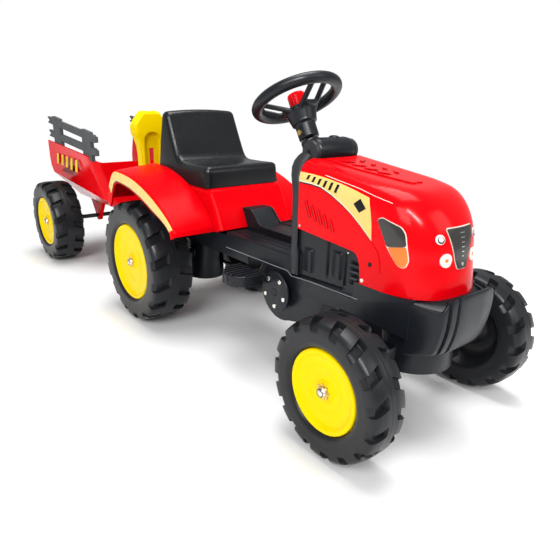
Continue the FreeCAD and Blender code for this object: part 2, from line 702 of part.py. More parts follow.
def kingpins():
    low = FRONT_WHEEL_R - KNUCKLE_HEIGHT / 2 - PLAY - EAR_THICKNESS
    high = FRONT_WHEEL_R + KNUCKLE_HEIGHT / 2 + PLAY + EAR_THICKNESS
    shank = upright(KINGPIN_R, WHEELBASE, KINGPIN_Y, low, high + SEAT)
    head = upright(KINGPIN_R + WALL, WHEELBASE, KINGPIN_Y, high + SEAT, high + SEAT + WALL)
    pin = join(shank, head)
    return pin, mirrored(pin)


def axle_bushes():
    """Flanged bushes of the rear axle and of the crank."""
    bushes = []
    seats = [(0, REAR_WHEEL_R, HOUSING_R, HOUSING_WALL), (CRANK_X, CRANK_Z, CHASSIS_HALF, WALL)]
    for x, z, face, wall in seats:
        sleeve = across(BUSH_R, x, z, face - wall * 2, face + SEAT)
        flange = across(BUSH_FLANGE_R, x, z, face + SEAT, face + SEAT + BUSH_FLANGE)
        bore = across(AXLE_R + RUN, x, z, 0, face * 2)
        bush = carve(join(sleeve, flange), bore)
        bushes += [bush, mirrored(bush)]
    return bushes


# Drive

def sprocket(teeth, pitch_r):
    """A sprocket at the origin with teeth between its root and tip circles."""
    root = pitch_r - TOOTH_HEIGHT
    tip = pitch_r + TOOTH_HEIGHT
    half = SPROCKET_THICKNESS / 2
    step = 2 * math.pi / teeth
    outline = []
    for index in range(teeth):
        for share, radius in ((-0.3, root), (-0.12, tip), (0.12, tip), (0.3, root)):
            angle = (index + share) * step
            outline.append((radius * math.cos(angle), radius * math.sin(angle)))
    wheel = side_plate(outline, -half, half)
    return carve(wheel, across(AXLE_R + FIT, 0, 0, -half * 2, half * 2))


def chain_band(grow):
    """The space inside a belt round both sprockets, larger than their teeth by a gap."""
    small = REAR_R + TOOTH_HEIGHT + CHAIN_GAP + grow
    large = DRIVE_R + TOOTH_HEIGHT + CHAIN_GAP + grow
    low = CHAIN_Y - CHAIN_WIDTH / 2
    high = CHAIN_Y + CHAIN_WIDTH / 2
    run_x = CRANK_X
    run_z = CRANK_Z - REAR_WHEEL_R
    distance = math.hypot(run_x, run_z)
    lean = math.atan2(run_z, run_x)
    offset = math.acos((small - large) / distance)
    corners = []
    for side in (1, -1):
        angle = lean + side * offset
        near = (small * math.cos(angle), REAR_WHEEL_R + small * math.sin(angle))
        far = (CRANK_X + large * math.cos(angle), CRANK_Z + large * math.sin(angle))
        corners += [near, far] if side == 1 else [far, near]
    runs = side_plate(corners, low, high)
    ends = across(small, 0, REAR_WHEEL_R, low, high), across(large, CRANK_X, CRANK_Z, low, high)
    return join(runs, *ends)


def drive_chain():
    return carve(chain_band(CHAIN_THICKNESS), chain_band(0))


def pedal_place(side):
    """Middle of a pedal's pin in the side view: +1 is the left pedal, -1 the right one."""
    angle = math.radians(CRANK_ANGLE + (180 if side > 0 else 0))
    return CRANK_X + CRANK_RADIUS * math.cos(angle), CRANK_Z + CRANK_RADIUS * math.sin(angle)


def crank_planes():
    """Distances from the centre plane: inside and outside of the arm, and of the disc."""
    arm = CHASSIS_HALF + SEAT + BUSH_FLANGE + PLAY
    disc = arm + ARM_THICKNESS + SEAT
    return arm, arm + ARM_THICKNESS, disc, disc + DISC_THICKNESS


def pedal_span():
    inner = crank_planes()[3] + RIVET_HEIGHT + PLAY * 2
    return inner, inner + PEDAL_WIDTH


def crank_shaft():
    """Axle, arms and pedal pins, bent and welded as one piece."""
    arm_in, arm_out, disc_in, disc_out = crank_planes()
    pieces = [across(AXLE_R, CRANK_X, CRANK_Z, -disc_out, disc_out)]
    for side in (1, -1):
        x, z = pedal_place(side)
        low, high = sorted((side * arm_in, side * arm_out))
        angle = math.degrees(math.atan2(z - CRANK_Z, x - CRANK_X))
        bar = block(0, CRANK_RADIUS, low, high, -ARM_WIDTH / 2, ARM_WIDTH / 2)
        bar = placed(turned(bar, -angle, Vector(0, 0, 0), AXIS_Y), CRANK_X, 0, CRANK_Z)
        ends = across(ARM_WIDTH / 2, CRANK_X, CRANK_Z, low, high), across(ARM_WIDTH / 2, x, z, low, high)
        pin_end = side * (pedal_span()[1] + PLAY)
        pieces += [bar, *ends, across(AXLE_R, x, z, *sorted((side * arm_in, pin_end)))]
    return join(*pieces)


def crank_disc(side):
    low, high = sorted((side * crank_planes()[2], side * crank_planes()[3]))
    disc = across(DISC_R, CRANK_X, CRANK_Z, low, high)
    return carve(disc, across(AXLE_R + FIT, CRANK_X, CRANK_Z, low - WALL, high + WALL))


def crank_rivets():
    """Five rivet heads on each disc, clear of the side where the pedal is."""
    rivets = []
    for side in (1, -1):
        face = crank_planes()[3] + FIT
        low, high = sorted((side * face, side * (face + RIVET_HEIGHT)))
        start = CRANK_ANGLE + (180 if side > 0 else 0) + 180.0 / RIVET_COUNT
        for index in range(RIVET_COUNT):
            angle = math.radians(start + index * 360.0 / RIVET_COUNT)
            x = CRANK_X + RIVET_CIRCLE_R * math.cos(angle)
            z = CRANK_Z + RIVET_CIRCLE_R * math.sin(angle)
            rivets.append(across(RIVET_R, x, z, low, high))
    return rivets


def pedal(side):
    x, z = pedal_place(side)
    inner, outer = pedal_span()
    low, high = sorted((side * inner, side * outer))
    half = PEDAL_LENGTH / 2
    body = block(x - half, x + half, low, high, z - PEDAL_HEIGHT / 2, z + PEDAL_HEIGHT / 2)
    upright_edges = [edge for edge in body.Edges if edge.BoundBox.ZLength > PEDAL_HEIGHT / 2]
    body = body.makeFillet(PEDAL_ROUND, upright_edges)
    pitch = PEDAL_LENGTH / (PEDAL_RIDGES + 1)
    grooves = []
    for index in range(PEDAL_RIDGES):
        middle = x - half + (index + 1) * pitch
        for face in (z + PEDAL_HEIGHT / 2, z - PEDAL_HEIGHT / 2):
            groove = block(middle - PEDAL_RIDGE, middle + PEDAL_RIDGE, low, high,
                           face - PEDAL_RIDGE, face + PEDAL_RIDGE)
            grooves.append(groove)
    return carve(body, across(AXLE_R + RUN, x, z, low - WALL, high + WALL), *grooves)


# Steering

def steering_wheel():
    ring = RIM_R - RIM_TUBE_R
    rim = Part.makeTorus(ring, RIM_TUBE_R, WHEEL_CENTRE, COLUMN_UP)
    hub_top = down_column(HUB_TOP)
    cone = Part.makeCone(HUB_TOP_R, HUB_END_R, HUB_END - HUB_TOP, hub_top, COLUMN_UP * -1)
    sleeve = rod(SLEEVE_R, down_column(HUB_END), down_column(SLEEVE_END))
    bars = []
    for index in range(SPOKE_COUNT):
        for offset in (-SPOKE_SPREAD, SPOKE_SPREAD):
            outer = WHEEL_CENTRE + COLUMN_FORE * ring + AXIS_Y * offset
            inner = hub_top - COLUMN_UP * SPOKE_BAR_R + COLUMN_FORE * (HUB_TOP_R / 2) + AXIS_Y * offset
            bar = rod(SPOKE_BAR_R, inner, outer)
            angle = SPOKE_START + index * 360.0 / SPOKE_COUNT
            bars.append(turned(bar, angle, WHEEL_CENTRE, COLUMN_UP))
    recess = rod(BUTTON_R + SEAT, down_column(0), down_column(HUB_TOP + BUTTON_DEPTH + SPRING_ROOM))
    bore = rod(STEERING_ROD_R + FIT, down_column(HUB_END - WALL), down_column(SLEEVE_END + WALL))
    cross_hole = across(SCREW_R + FIT, *screw_place(), -SLEEVE_R * 2, SLEEVE_R * 2)
    return carve(join(rim, cone, sleeve, *bars), recess, bore, cross_hole)


def screw_place():
    """Where the cross screw ties the sleeve to the rod, in the side view."""
    point = down_column(SLEEVE_END - SCREW_LENGTH * 2)
    return point.x, point.z


def steering_screw():
    x, z = screw_place()
    shank = across(SCREW_R, x, z, -SLEEVE_R - SEAT, SLEEVE_R)
    head = across(SCREW_HEAD_R, x, z, -SLEEVE_R - SEAT - SCREW_HEAD, -SLEEVE_R - SEAT)
    return join(shank, head)


def horn_button():
    top = down_column(BUTTON_TOP)
    body = rod(BUTTON_R, top, down_column(HUB_TOP + BUTTON_DEPTH))
    rims = [edge for edge in body.Edges if edge.Closed and (edge.CenterOfMass - top).Length < FIT]
    return body.makeFillet(SCREW_HEAD, rims)


def horn_spring():
    """The coil under the button, in the bottom of its recess."""
    length = SPRING_ROOM - SEAT * 2 - SPRING_WIRE_R * 2
    path = Part.Wire(Part.makeHelix(SPRING_PITCH, length, SPRING_R))
    ring = Part.Wire(Part.makeCircle(SPRING_WIRE_R, Vector(SPRING_R, 0, 0), AXIS_Y))
    coil = path.makePipeShell([ring], True, True)
    coil = turned(coil, -COLUMN_TILT, Vector(0, 0, 0), AXIS_Y)
    bottom = down_column(HUB_TOP + BUTTON_DEPTH + SPRING_ROOM - SEAT - SPRING_WIRE_R)
    return placed(coil, bottom.x, bottom.y, bottom.z)


def steering_rod():
    """The straight rod with its bent arm and the pin that moves the tie rod."""
    elbow = down_column(ARM_HUB_DOWN)
    pin = elbow - COLUMN_FORE * STEERING_ARM
    shaft = rod(STEERING_ROD_R, down_column(HUB_END), elbow)
    arm = rod(STEERING_ROD_R, elbow, pin)
    corners = [Part.makeSphere(STEERING_ROD_R, elbow), Part.makeSphere(STEERING_ROD_R, pin)]
    tip = rod(STEERING_PIN_R, pin, pin - COLUMN_UP * STEERING_PIN_DOWN)
    cross_hole = across(SCREW_R + FIT, *screw_place(), -SLEEVE_R, SLEEVE_R)
    return carve(join(shaft, arm, tip, *corners), cross_hole)


def knuckle():
    """The left steering knuckle: sleeve on the kingpin, stub axle and arm to the tie rod."""
    low = FRONT_WHEEL_R - KNUCKLE_HEIGHT / 2
    high = FRONT_WHEEL_R + KNUCKLE_HEIGHT / 2
    sleeve = upright(KNUCKLE_R, WHEELBASE, KINGPIN_Y, low, high)
    stub_end = FRONT_WHEEL_Y + cap_bottom(FRONT_WHEEL_W)
    stub = across(AXLE_R, WHEELBASE, FRONT_WHEEL_R, KINGPIN_Y, stub_end)
    arm_low = TIE_ROD_Z + TIE_ROD_THICKNESS / 2 + PLAY
    half = KNUCKLE_ARM_WIDTH / 2
    arm_high = arm_low + KNUCKLE_ARM_THICKNESS
    arm = block(PIN_X, WHEELBASE, KINGPIN_Y - half, KINGPIN_Y + half, arm_low, arm_high)
    tip = upright(half, PIN_X, KINGPIN_Y, arm_low, arm_high)
    pin = upright(TIE_PIN_R, PIN_X, KINGPIN_Y, TIE_ROD_Z - TIE_ROD_THICKNESS, arm_low)
    bore = upright(KINGPIN_R + RUN, WHEELBASE, KINGPIN_Y, 0, FRONT_WHEEL_R * 2)
    return carve(join(sleeve, stub, arm, tip, pin), bore)


def tie_rod():
    """A flat bar between the knuckles, with a slot for the steering pin in its middle."""
    low = TIE_ROD_Z - TIE_ROD_THICKNESS / 2
    high = TIE_ROD_Z + TIE_ROD_THICKNESS / 2
    half = TIE_ROD_WIDTH / 2
    bar = block(PIN_X - half, PIN_X + half, -KINGPIN_Y, KINGPIN_Y, low, high)
    end = upright(half, PIN_X, KINGPIN_Y, low, high)
    slot_half = STEERING_PIN_R + STEERING_PIN_PLAY
    slot_rear = PIN_X - slot_half - STEERING_PIN_PLAY
    slot_front = PIN_X + slot_half + SLOT_FORWARD
    plate = block(slot_rear - half, slot_front + half, -slot_half - half, slot_half + half, low, high)
    slot = block(slot_rear, slot_front, -slot_half, slot_half, low - WALL, high + WALL)
    right_bore = upright(TIE_PIN_R + RUN, PIN_X, -KINGPIN_Y, 0, SEAM_Z)
    left_bore = upright(TIE_PIN_R + OPEN_PIVOT_PLAY, PIN_X, KINGPIN_Y, 0, SEAM_Z)
    return carve(join(bar, end, mirrored(end), plate), slot, right_bore, left_bore)


# Hood and its trim

def curve(*points):
    start, middle, end = [Vector(*point) for point in points]
    return Part.Arc(start, middle, end).toShape()


def line(start, end):
    return Part.LineSegment(Vector(*start), Vector(*end)).toShape()


def on_circle(centre, radius, angle):
    return centre[0] + radius * math.cos(angle), centre[1] + radius * math.sin(angle)


def hood_side(inset, rear):
    """Side view of the hood: sloping top, round nose, and a flat bottom below everything."""
    radius = NOSE_TOP_R - inset
    centre = (NOSE_X - NOSE_TOP_R, NOSE_TOP_Z)
    slope = math.radians(HOOD_SLOPE)
    tangent = on_circle(centre, radius, math.pi / 2 - slope)
    middle = on_circle(centre, radius, (math.pi / 2 - slope) / 2)
    front = on_circle(centre, radius, 0)
    rear_z = tangent[1] + (tangent[0] - rear) * math.tan(slope)
    spots = [(rear, SEAM_Z), (rear, rear_z), tangent, middle, front, (front[0], SEAM_Z)]
    low_rear, high_rear, tangent, middle, front, low_front = [(x, -HOOD_HALF * 2, z) for x, z in spots]
    edges = [line(low_rear, high_rear), line(high_rear, tangent), curve(tangent, middle, front)]
    edges += [line(front, low_front), line(low_front, low_rear)]
    return Part.Face(Part.Wire(edges)).extrude(AXIS_Y * HOOD_HALF * 4)


def hood_plan(inset, rear):
    """Plan of the hood: straight sides and a half-round front."""
    half = HOOD_HALF - inset
    middle_x = NOSE_X - HOOD_HALF
    low = SEAM_Z - WALL
    back = (rear, half, low)
    side = (middle_x, half, low)
    tip = (middle_x + half, 0, low)
    far_side = (middle_x, -half, low)
    far_back = (rear, -half, low)
    edges = [line(back, side), curve(side, tip, far_side), line(far_side, far_back), line(far_back, back)]
    return Part.Face(Part.Wire(edges)).extrude(AXIS_Z * WHEEL_CENTRE_Z)


def hood_section(inset, rear):
    """Cross section of the hood with round shoulders, drawn forward along the slope of the top."""
    slope = math.radians(HOOD_SLOPE)
    tangent = on_circle((NOSE_X - NOSE_TOP_R, NOSE_TOP_Z), NOSE_TOP_R, math.pi / 2 - slope)
    start_x = rear - HOOD_HALF
    top = tangent[1] + (tangent[0] - start_x) * math.tan(slope) - inset / math.cos(slope)
    half = HOOD_HALF - inset
    radius = HOOD_SHOULDER_R - inset
    low = -WHEEL_CENTRE_Z
    bend_y = half - radius + radius * math.sqrt(0.5)
    bend_z = top - radius + radius * math.sqrt(0.5)
    left = [(start_x, half, low), (start_x, half, top - radius), (start_x, bend_y, bend_z)]
    left.append((start_x, half - radius, top))
    right = [(x, -y, z) for x, y, z in left]
    edges = [line(left[0], left[1]), curve(left[1], left[2], left[3]), line(left[3], right[3])]
    edges += [curve(right[3], right[2], right[1]), line(right[1], right[0]), line(right[0], left[0])]
    run = NOSE_X - start_x + HOOD_HALF
    return Part.Face(Part.Wire(edges)).extrude(Vector(run, 0, -run * math.tan(slope)))


def hood_form(inset, rear):
    """The hood's outer form drawn in by a distance, or drawn out by a negative one."""
    return hood_side(inset, rear).common(hood_plan(inset, rear)).common(hood_section(inset, rear))


def hood():
    shell = carve(hood_form(0, HOOD_REAR_X), hood_form(HOOD_WALL, HOOD_REAR_X - WALL))
    below = [(HOOD_REAR_X - WALL, HOOD_SIDE_LOW_Z), (HOOD_STEP_X, HOOD_SIDE_LOW_Z)]
    below += [(HOOD_STEP_END_X, HOOD_NOSE_LOW_Z), (NOSE_X + WALL, HOOD_NOSE_LOW_Z)]
    below += [(NOSE_X + WALL, 0), (HOOD_REAR_X - WALL, 0)]
    opening = side_plate(below, -HOOD_HALF * 2, HOOD_HALF * 2)
    holes = []
    for x, z in HOOD_SCREWS:
        holes.append(across(SCREW_R + FIT, WHEELBASE + x, z, -HOOD_HALF * 2, HOOD_HALF * 2))
    return carve(shell, opening, *holes, *louvres())


def louvres():
    """Slanted slots through both sides of the hood."""
    slots = []
    for index in range(LOUVRE_COUNT):
        half = LOUVRE_LENGTH / 2 - index * LOUVRE_SHORTER / 2
        slot = block(-LOUVRE_WIDTH / 2, LOUVRE_WIDTH / 2, -HOOD_HALF * 2, HOOD_HALF * 2, -half, half)
        slot = turned(slot, LOUVRE_LEAN, Vector(0, 0, 0), AXIS_Y)
        slots.append(placed(slot, LOUVRE_X + index * LOUVRE_PITCH, 0, LOUVRE_Z - index * LOUVRE_FALL))
    return slots


def hood_skin():
    """A thin layer just off the hood, from which its trim is cut."""
    return carve(hood_form(-TRIM_THICKNESS - FIT, HOOD_REAR_X), hood_form(-FIT, HOOD_REAR_X - WALL))


def grille_panel(skin):
    outline = [(-GRILLE_TOP_HALF, GRILLE_TOP_Z), (GRILLE_TOP_HALF, GRILLE_TOP_Z)]
    outline += [(GRILLE_LOW_HALF, GRILLE_LOW_Z), (-GRILLE_LOW_HALF, GRILLE_LOW_Z)]
    return skin.common(end_plate(outline, NOSE_X - HOOD_HALF, NOSE_X + HOOD_HALF))


def round_lamp(skin, y, z, radius):
    lamp = skin.common(rod(radius, Vector(NOSE_X - HOOD_HALF, y, z), Vector(NOSE_X + HOOD_HALF, y, z)))
    return lamp, mirrored(lamp)


def side_trim(skin, outline):
    points = [(WHEELBASE + x, z) for x, z in outline]
    trim = skin.common(side_plate(points, HOOD_HALF / 2, HOOD_HALF * 2))
    return trim, mirrored(trim)


def body_screws():
    """Screws of the hood and of the dash console."""
    screws = []
    for x, z in HOOD_SCREWS:
        along = WHEELBASE + x
        shank = across(SCREW_R, along, z, HOOD_HALF + FIT - SCREW_LENGTH, HOOD_HALF + FIT)
        head = across(SCREW_HEAD_R, along, z, HOOD_HALF + FIT, HOOD_HALF + FIT + SCREW_HEAD)
        screws.append(join(shank, head))
    bottom = BARREL_HALF - CONSOLE_HOLE + SEAT
    screws.append(across(CONSOLE_SCREW_R, BARREL_X, BARREL_Z, bottom, bottom + CONSOLE_SCREW))
    return screws + [mirrored(screw) for screw in screws]


def engine_panel():
    """A ribbed panel on the left side of the engine housing."""
    face = ENGINE_HALF + SEAT
    rear = HOOD_REAR_X + WALL
    front = ENGINE_FRONT_X - WALL
    top = HOOD_SIDE_LOW_Z - WALL
    low = SEAM_Z + WALL
    panel = block(rear, front, face, face + PANEL_THICKNESS, low, top)
    pitch = (front - rear) / (PANEL_RIBS + 1)
    windows = []
    for index in range(PANEL_RIBS):
        middle = rear + (index + 1) * pitch
        window = block(middle - pitch / 4, middle + pitch / 4, face + PANEL_THICKNESS / 2,
                       face + PANEL_THICKNESS * 2, low + WALL * 2, top - WALL * 3)
        windows.append(window)
    return carve(panel, *windows)


def dash_console():
    """Cross barrel, shoulders and side strips round the rear edge of the hood, and the dash panel."""
    strip_front = HOOD_REAR_X - SEAT
    barrel = across(BARREL_R, BARREL_X, BARREL_Z, -BARREL_HALF, BARREL_HALF)
    inner = HOOD_HALF - STRIP_THICKNESS
    strip = block(STRIP_REAR_X, strip_front, inner, HOOD_HALF, SEAM_Z + WALL * 4, STRIP_TOP_Z)
    shoulder_low = [(BARREL_HALF - STRIP_THICKNESS, BARREL_Z - BARREL_R), (HOOD_HALF, STRIP_TOP_Z - BARREL_R)]
    shoulder_high = [(HOOD_HALF, STRIP_TOP_Z), (BARREL_HALF, BARREL_Z + BARREL_R / 2)]
    shoulder_high.append((BARREL_HALF - STRIP_THICKNESS, BARREL_Z + BARREL_R / 2))
    shoulder = end_plate(shoulder_low + shoulder_high, STRIP_REAR_X, strip_front)
    panel_front = STRIP_REAR_X + DASH_PANEL
    panel = block(STRIP_REAR_X, panel_front, -inner, inner, ENGINE_TOP_Z + SEAT, BARREL_Z)
    collar = rod(COLLAR_R, down_column(SLEEVE_END + PLAY), down_column(COLLAR_END))
    saddle_rear = down_column(SLEEVE_END + PLAY).x
    saddle = block(saddle_rear, BARREL_X, -SADDLE_DEPTH, SADDLE_DEPTH, BARREL_Z - SADDLE_DEPTH, BARREL_Z)
    whole = join(barrel, strip, mirrored(strip), shoulder, mirrored(shoulder), panel, collar, saddle)
    before = block(STRIP_REAR_X + DASH_PANEL, HOOD_REAR_X * 2, -COLLAR_R, COLLAR_R, SEAM_Z, BARREL_Z - BARREL_R)
    sleeve_room = rod(SLEEVE_R + PLAY, down_column(0), down_column(SLEEVE_END + PLAY))
    bore = rod(STEERING_ROD_R + RUN, down_column(0), down_column(ARM_HUB_DOWN))
    hole = across(CONSOLE_SCREW_R + FIT, BARREL_X, BARREL_Z, BARREL_HALF - CONSOLE_HOLE, BARREL_HALF * 2)
    return carve(whole, before, sleeve_room, bore, hole, mirrored(hole))


# Rear body and seat

def sector(radius, first, last, y_low, y_high):
    """A pie slice about the rear axle between two angles from forward."""
    start = math.radians(first)
    end = math.radians(last)
    centre = (0, REAR_WHEEL_R)
    spots = [on_circle(centre, radius, angle) for angle in (start, (start + end) / 2, end)]
    rim = [(x, y_low, z) for x, z in spots]
    hub_point = (0, y_low, REAR_WHEEL_R)
    edges = [line(hub_point, rim[0]), curve(*rim), line(rim[2], hub_point)]
    return Part.Face(Part.Wire(edges)).extrude(Vector(0, y_high - y_low, 0))


def body_outline(inset):
    """Side view of the middle of the rear body."""
    lean = (BODY_FRONT_LOW_X - BODY_FRONT_TOP_X) / (BODY_TOP_Z - BODY_FLOOR_Z)
    points = [(BODY_REAR_X + inset, BODY_FLOOR_Z + inset), (BODY_REAR_X + inset, BODY_TOP_Z - inset)]
    points.append((BODY_FRONT_TOP_X - inset + inset * lean, BODY_TOP_Z - inset))
    points.append((BODY_FRONT_LOW_X - inset - inset * lean, BODY_FLOOR_Z + inset))
    return points


def fender():
    """The left fender: crown, inner wall and turned-down outer lip."""
    inner_r = FENDER_R - BODY_WALL
    lip_r = FENDER_R - FENDER_LIP
    outer = sector(FENDER_R, FENDER_FRONT, FENDER_REAR, BODY_HALF - BODY_WALL, FENDER_HALF)
    room = sector(inner_r, FENDER_FRONT - 1, FENDER_REAR + 1, BODY_HALF, FENDER_HALF - BODY_WALL)
    mouth = sector(lip_r, FENDER_FRONT - 1, FENDER_REAR + 1, FENDER_HALF - BODY_WALL * 2, FENDER_HALF + BODY_WALL)
    below = block(-FENDER_R, FENDER_R, BODY_HALF - BODY_WALL * 2, BODY_HALF, 0, BODY_FLOOR_Z)
    return carve(outer, room, mouth, below)


def tool_pocket():
    """An open-topped holder for the stem of the shovel on the rear wall."""
    half_y = SHOVEL_STEM_HALF + SEAT + BODY_WALL
    half_x = SHOVEL_FLANGE + SEAT + BODY_WALL
    low = SHOVEL_LOW_Z - SEAT - BODY_WALL
    outer = block(SHOVEL_X - half_x, BODY_REAR_X + BODY_WALL, SHOVEL_Y - half_y, SHOVEL_Y + half_y,
                  low, SHOVEL_LOW_Z + POCKET_HEIGHT)
    room = block(SHOVEL_X - half_x + BODY_WALL, SHOVEL_X + half_x - BODY_WALL, SHOVEL_Y - half_y + BODY_WALL,
                 SHOVEL_Y + half_y - BODY_WALL, SHOVEL_LOW_Z - SEAT, SHOVEL_TOP_Z)
    return outer, room


def rear_body():
    middle = side_plate(body_outline(0), -BODY_HALF, BODY_HALF)
    room = side_plate(body_outline(BODY_WALL), -BODY_HALF + BODY_WALL, BODY_HALF - BODY_WALL)
    left = fender()
    pocket, pocket_room = tool_pocket()
    whole = carve(join(middle, pocket, left, mirrored(left)), room)
    return carve(whole, pocket_room)


def seat():
    base = BODY_TOP_Z + SEAT
    rear_top = SEAT_BACK_TOP_X - SEAT_BACK_THICKNESS
    outline = [(SEAT_REAR_X, base), (rear_top, SEAT_TOP_Z), (SEAT_BACK_TOP_X, SEAT_TOP_Z)]
    outline += [(SEAT_BACK_LOW_X, SEAT_DIP_Z), (SEAT_FRONT_X - SEAT_ROUND * 2, SEAT_PAN_Z)]
    outline += [(SEAT_FRONT_X - SEAT_ROUND, SEAT_PAN_Z), (SEAT_FRONT_X, SEAT_PAN_Z - SEAT_ROUND)]
    outline.append((SEAT_FRONT_X, base))
    whole = side_plate(outline, -SEAT_HALF, SEAT_HALF)
    taper = [(SEAT_HALF, SEAT_PAN_Z), (SEAT_TOP_HALF, SEAT_TOP_Z + SEAT_WALL)]
    taper += [(SEAT_HALF * 2, SEAT_TOP_Z + SEAT_WALL), (SEAT_HALF * 2, SEAT_PAN_Z)]
    trim = end_plate(taper, -FENDER_R, FENDER_R)
    hollow_back = [(SEAT_REAR_X + SEAT_WALL * 2, base - SEAT_WALL), (rear_top + SEAT_WALL * 2, SEAT_TOP_Z - SEAT_WALL)]
    hollow_back += [(SEAT_BACK_TOP_X - SEAT_WALL, SEAT_TOP_Z - SEAT_WALL)]
    hollow_back += [(SEAT_BACK_LOW_X - SEAT_WALL, SEAT_DIP_Z - SEAT_WALL)]
    hollow_back += [(SEAT_FRONT_X - SEAT_ROUND * 2, SEAT_PAN_Z - SEAT_WALL * 2)]
    hollow_back += [(SEAT_FRONT_X - SEAT_WALL, SEAT_PAN_Z - SEAT_ROUND * 2), (SEAT_FRONT_X - SEAT_WALL, base - SEAT_WALL)]
    inner_half = SEAT_TOP_HALF - SEAT_WALL
    room = side_plate(hollow_back, -inner_half, inner_half)
    return carve(whole, trim, mirrored(trim), room)


def shovel_outline(top_trim):
    left = [(SHOVEL_STEM_HALF, SHOVEL_LOW_Z), (SHOVEL_STEM_HALF, SHOVEL_STEM_Z), (SHOVEL_WIDE_HALF, SHOVEL_WIDE_Z)]
    left.append((SHOVEL_TIP_HALF, SHOVEL_TOP_Z - top_trim))
    right = [(-y, z) for y, z in reversed(left)]
    return [(SHOVEL_Y + y, z) for y, z in left + right]


def shovel():
    """A toy shovel that stands blade up in its holder, with a slot along its stem."""
    rear = SHOVEL_X - SHOVEL_FLANGE
    front = SHOVEL_X + SHOVEL_FLANGE
    whole = end_plate(shovel_outline(0), rear, front)
    wall = SHOVEL_THICKNESS
    room_half = SHOVEL_STEM_HALF - wall
    hollow = [(room_half, SHOVEL_LOW_Z + wall), (room_half, SHOVEL_STEM_Z), (SHOVEL_WIDE_HALF - wall, SHOVEL_WIDE_Z)]
    hollow.append((SHOVEL_TIP_HALF - wall, SHOVEL_TOP_Z + wall))
    hollow += [(-y, z) for y, z in reversed(hollow)]
    room = end_plate([(SHOVEL_Y + y, z) for y, z in hollow], rear + wall, front + wall)
    slot = block(rear - wall, front + wall, SHOVEL_Y - SHOVEL_SLOT_HALF, SHOVEL_Y + SHOVEL_SLOT_HALF,
                 SHOVEL_LOW_Z + POCKET_HEIGHT, SHOVEL_SLOT_TOP_Z)
    return carve(whole, room, slot)


# Trailer

def tub_section(x, top, waist, inset):
    """Cross section of the tub, drawn in by a wall and then open at its top."""
    lift = inset * 10
    flare = (top[0] - waist[0]) / (top[1] - waist[1])
    half = [(top[0] - inset + lift * flare, top[1] + lift), (waist[0] - inset, waist[1])]
    half.append((TUB_FLOOR_HALF - inset, TUB_FLOOR_Z + inset))
    points = half + [(-y, z) for y, z in reversed(half)]
    corners = [Vector(x, y, z) for y, z in points]
    return Part.makePolygon(corners + corners[:1])


def tub_form(inset):
    rear = tub_section(TUB_REAR_X + inset, TUB_REAR_TOP, TUB_REAR_WAIST, inset)
    front = tub_section(TUB_FRONT_X - inset, TUB_FRONT_TOP, TUB_FRONT_WAIST, inset)
    return Part.makeLoft([rear, front], True, True)


def trailer_tub():
    shell = carve(tub_form(0), tub_form(TUB_WALL))
    wide = TUB_REAR_TOP[0] - TUB_WALL * 2
    tail = block(TUB_REAR_X - TUB_WALL, TUB_REAR_X + TUB_WALL * 2, -wide, wide, TUB_TAIL_Z, SHOVEL_TOP_Z)
    head = block(TUB_FRONT_X - TUB_WALL * 2, TUB_FRONT_X + TUB_WALL, -wide, wide, TUB_END_Z, SHOVEL_TOP_Z)
    return carve(shell, tail, head)


def tub_rim_z(x):
    """Height of the top of the tub's side at a place along it."""
    share = (x - TUB_REAR_X) / (TUB_FRONT_X - TUB_REAR_X)
    return TUB_REAR_TOP[1] + share * (TUB_FRONT_TOP[1] - TUB_REAR_TOP[1])


def fence_rail(lift):
    """A rail along the tub with a notch in each end."""
    rear_z = tub_rim_z(FENCE_REAR_X) + lift
    front_z = tub_rim_z(FENCE_FRONT_X) + lift
    notch = FENCE_NOTCH
    third = FENCE_RAIL_HEIGHT / 3
    points = [(FENCE_REAR_X, rear_z), (FENCE_REAR_X, rear_z + third), (FENCE_REAR_X + notch, rear_z + third)]
    points += [(FENCE_REAR_X + notch, rear_z + third * 2), (FENCE_REAR_X, rear_z + third * 2)]
    points += [(FENCE_REAR_X, rear_z + third * 3), (FENCE_FRONT_X, front_z + third * 3)]
    points += [(FENCE_FRONT_X, front_z + third * 2), (FENCE_FRONT_X - notch, front_z + third * 2)]
    points += [(FENCE_FRONT_X - notch, front_z + third), (FENCE_FRONT_X, front_z + third), (FENCE_FRONT_X, front_z)]
    return points


def trailer_fence():
    """The left fence: two posts and two rails that stand on the rim of the tub."""
    inner = TUB_REAR_TOP[0] - TUB_WALL - SEAT - FENCE_THICKNESS
    outer = inner + FENCE_THICKNESS
    pieces = []
    for lift in (FENCE_GAP, FENCE_GAP + FENCE_RAIL_HEIGHT + FENCE_RAIL_GAP):
        pieces.append(side_plate(fence_rail(lift), inner, outer))
    for middle in (FENCE_REAR_POST_X, FENCE_FRONT_POST_X):
        rim = tub_rim_z(middle)
        half = FENCE_POST_WIDTH / 2
        peg = block(middle - half, middle + half, inner, outer, rim - FENCE_PEG, rim + FENCE_GAP)
        pieces.append(peg.common(tub_form(TUB_WALL + SEAT)))
        pieces.append(block(middle - half, middle + half, inner, outer, rim + SEAT * 4, rim + FENCE_HEIGHT))
    return join(*pieces)


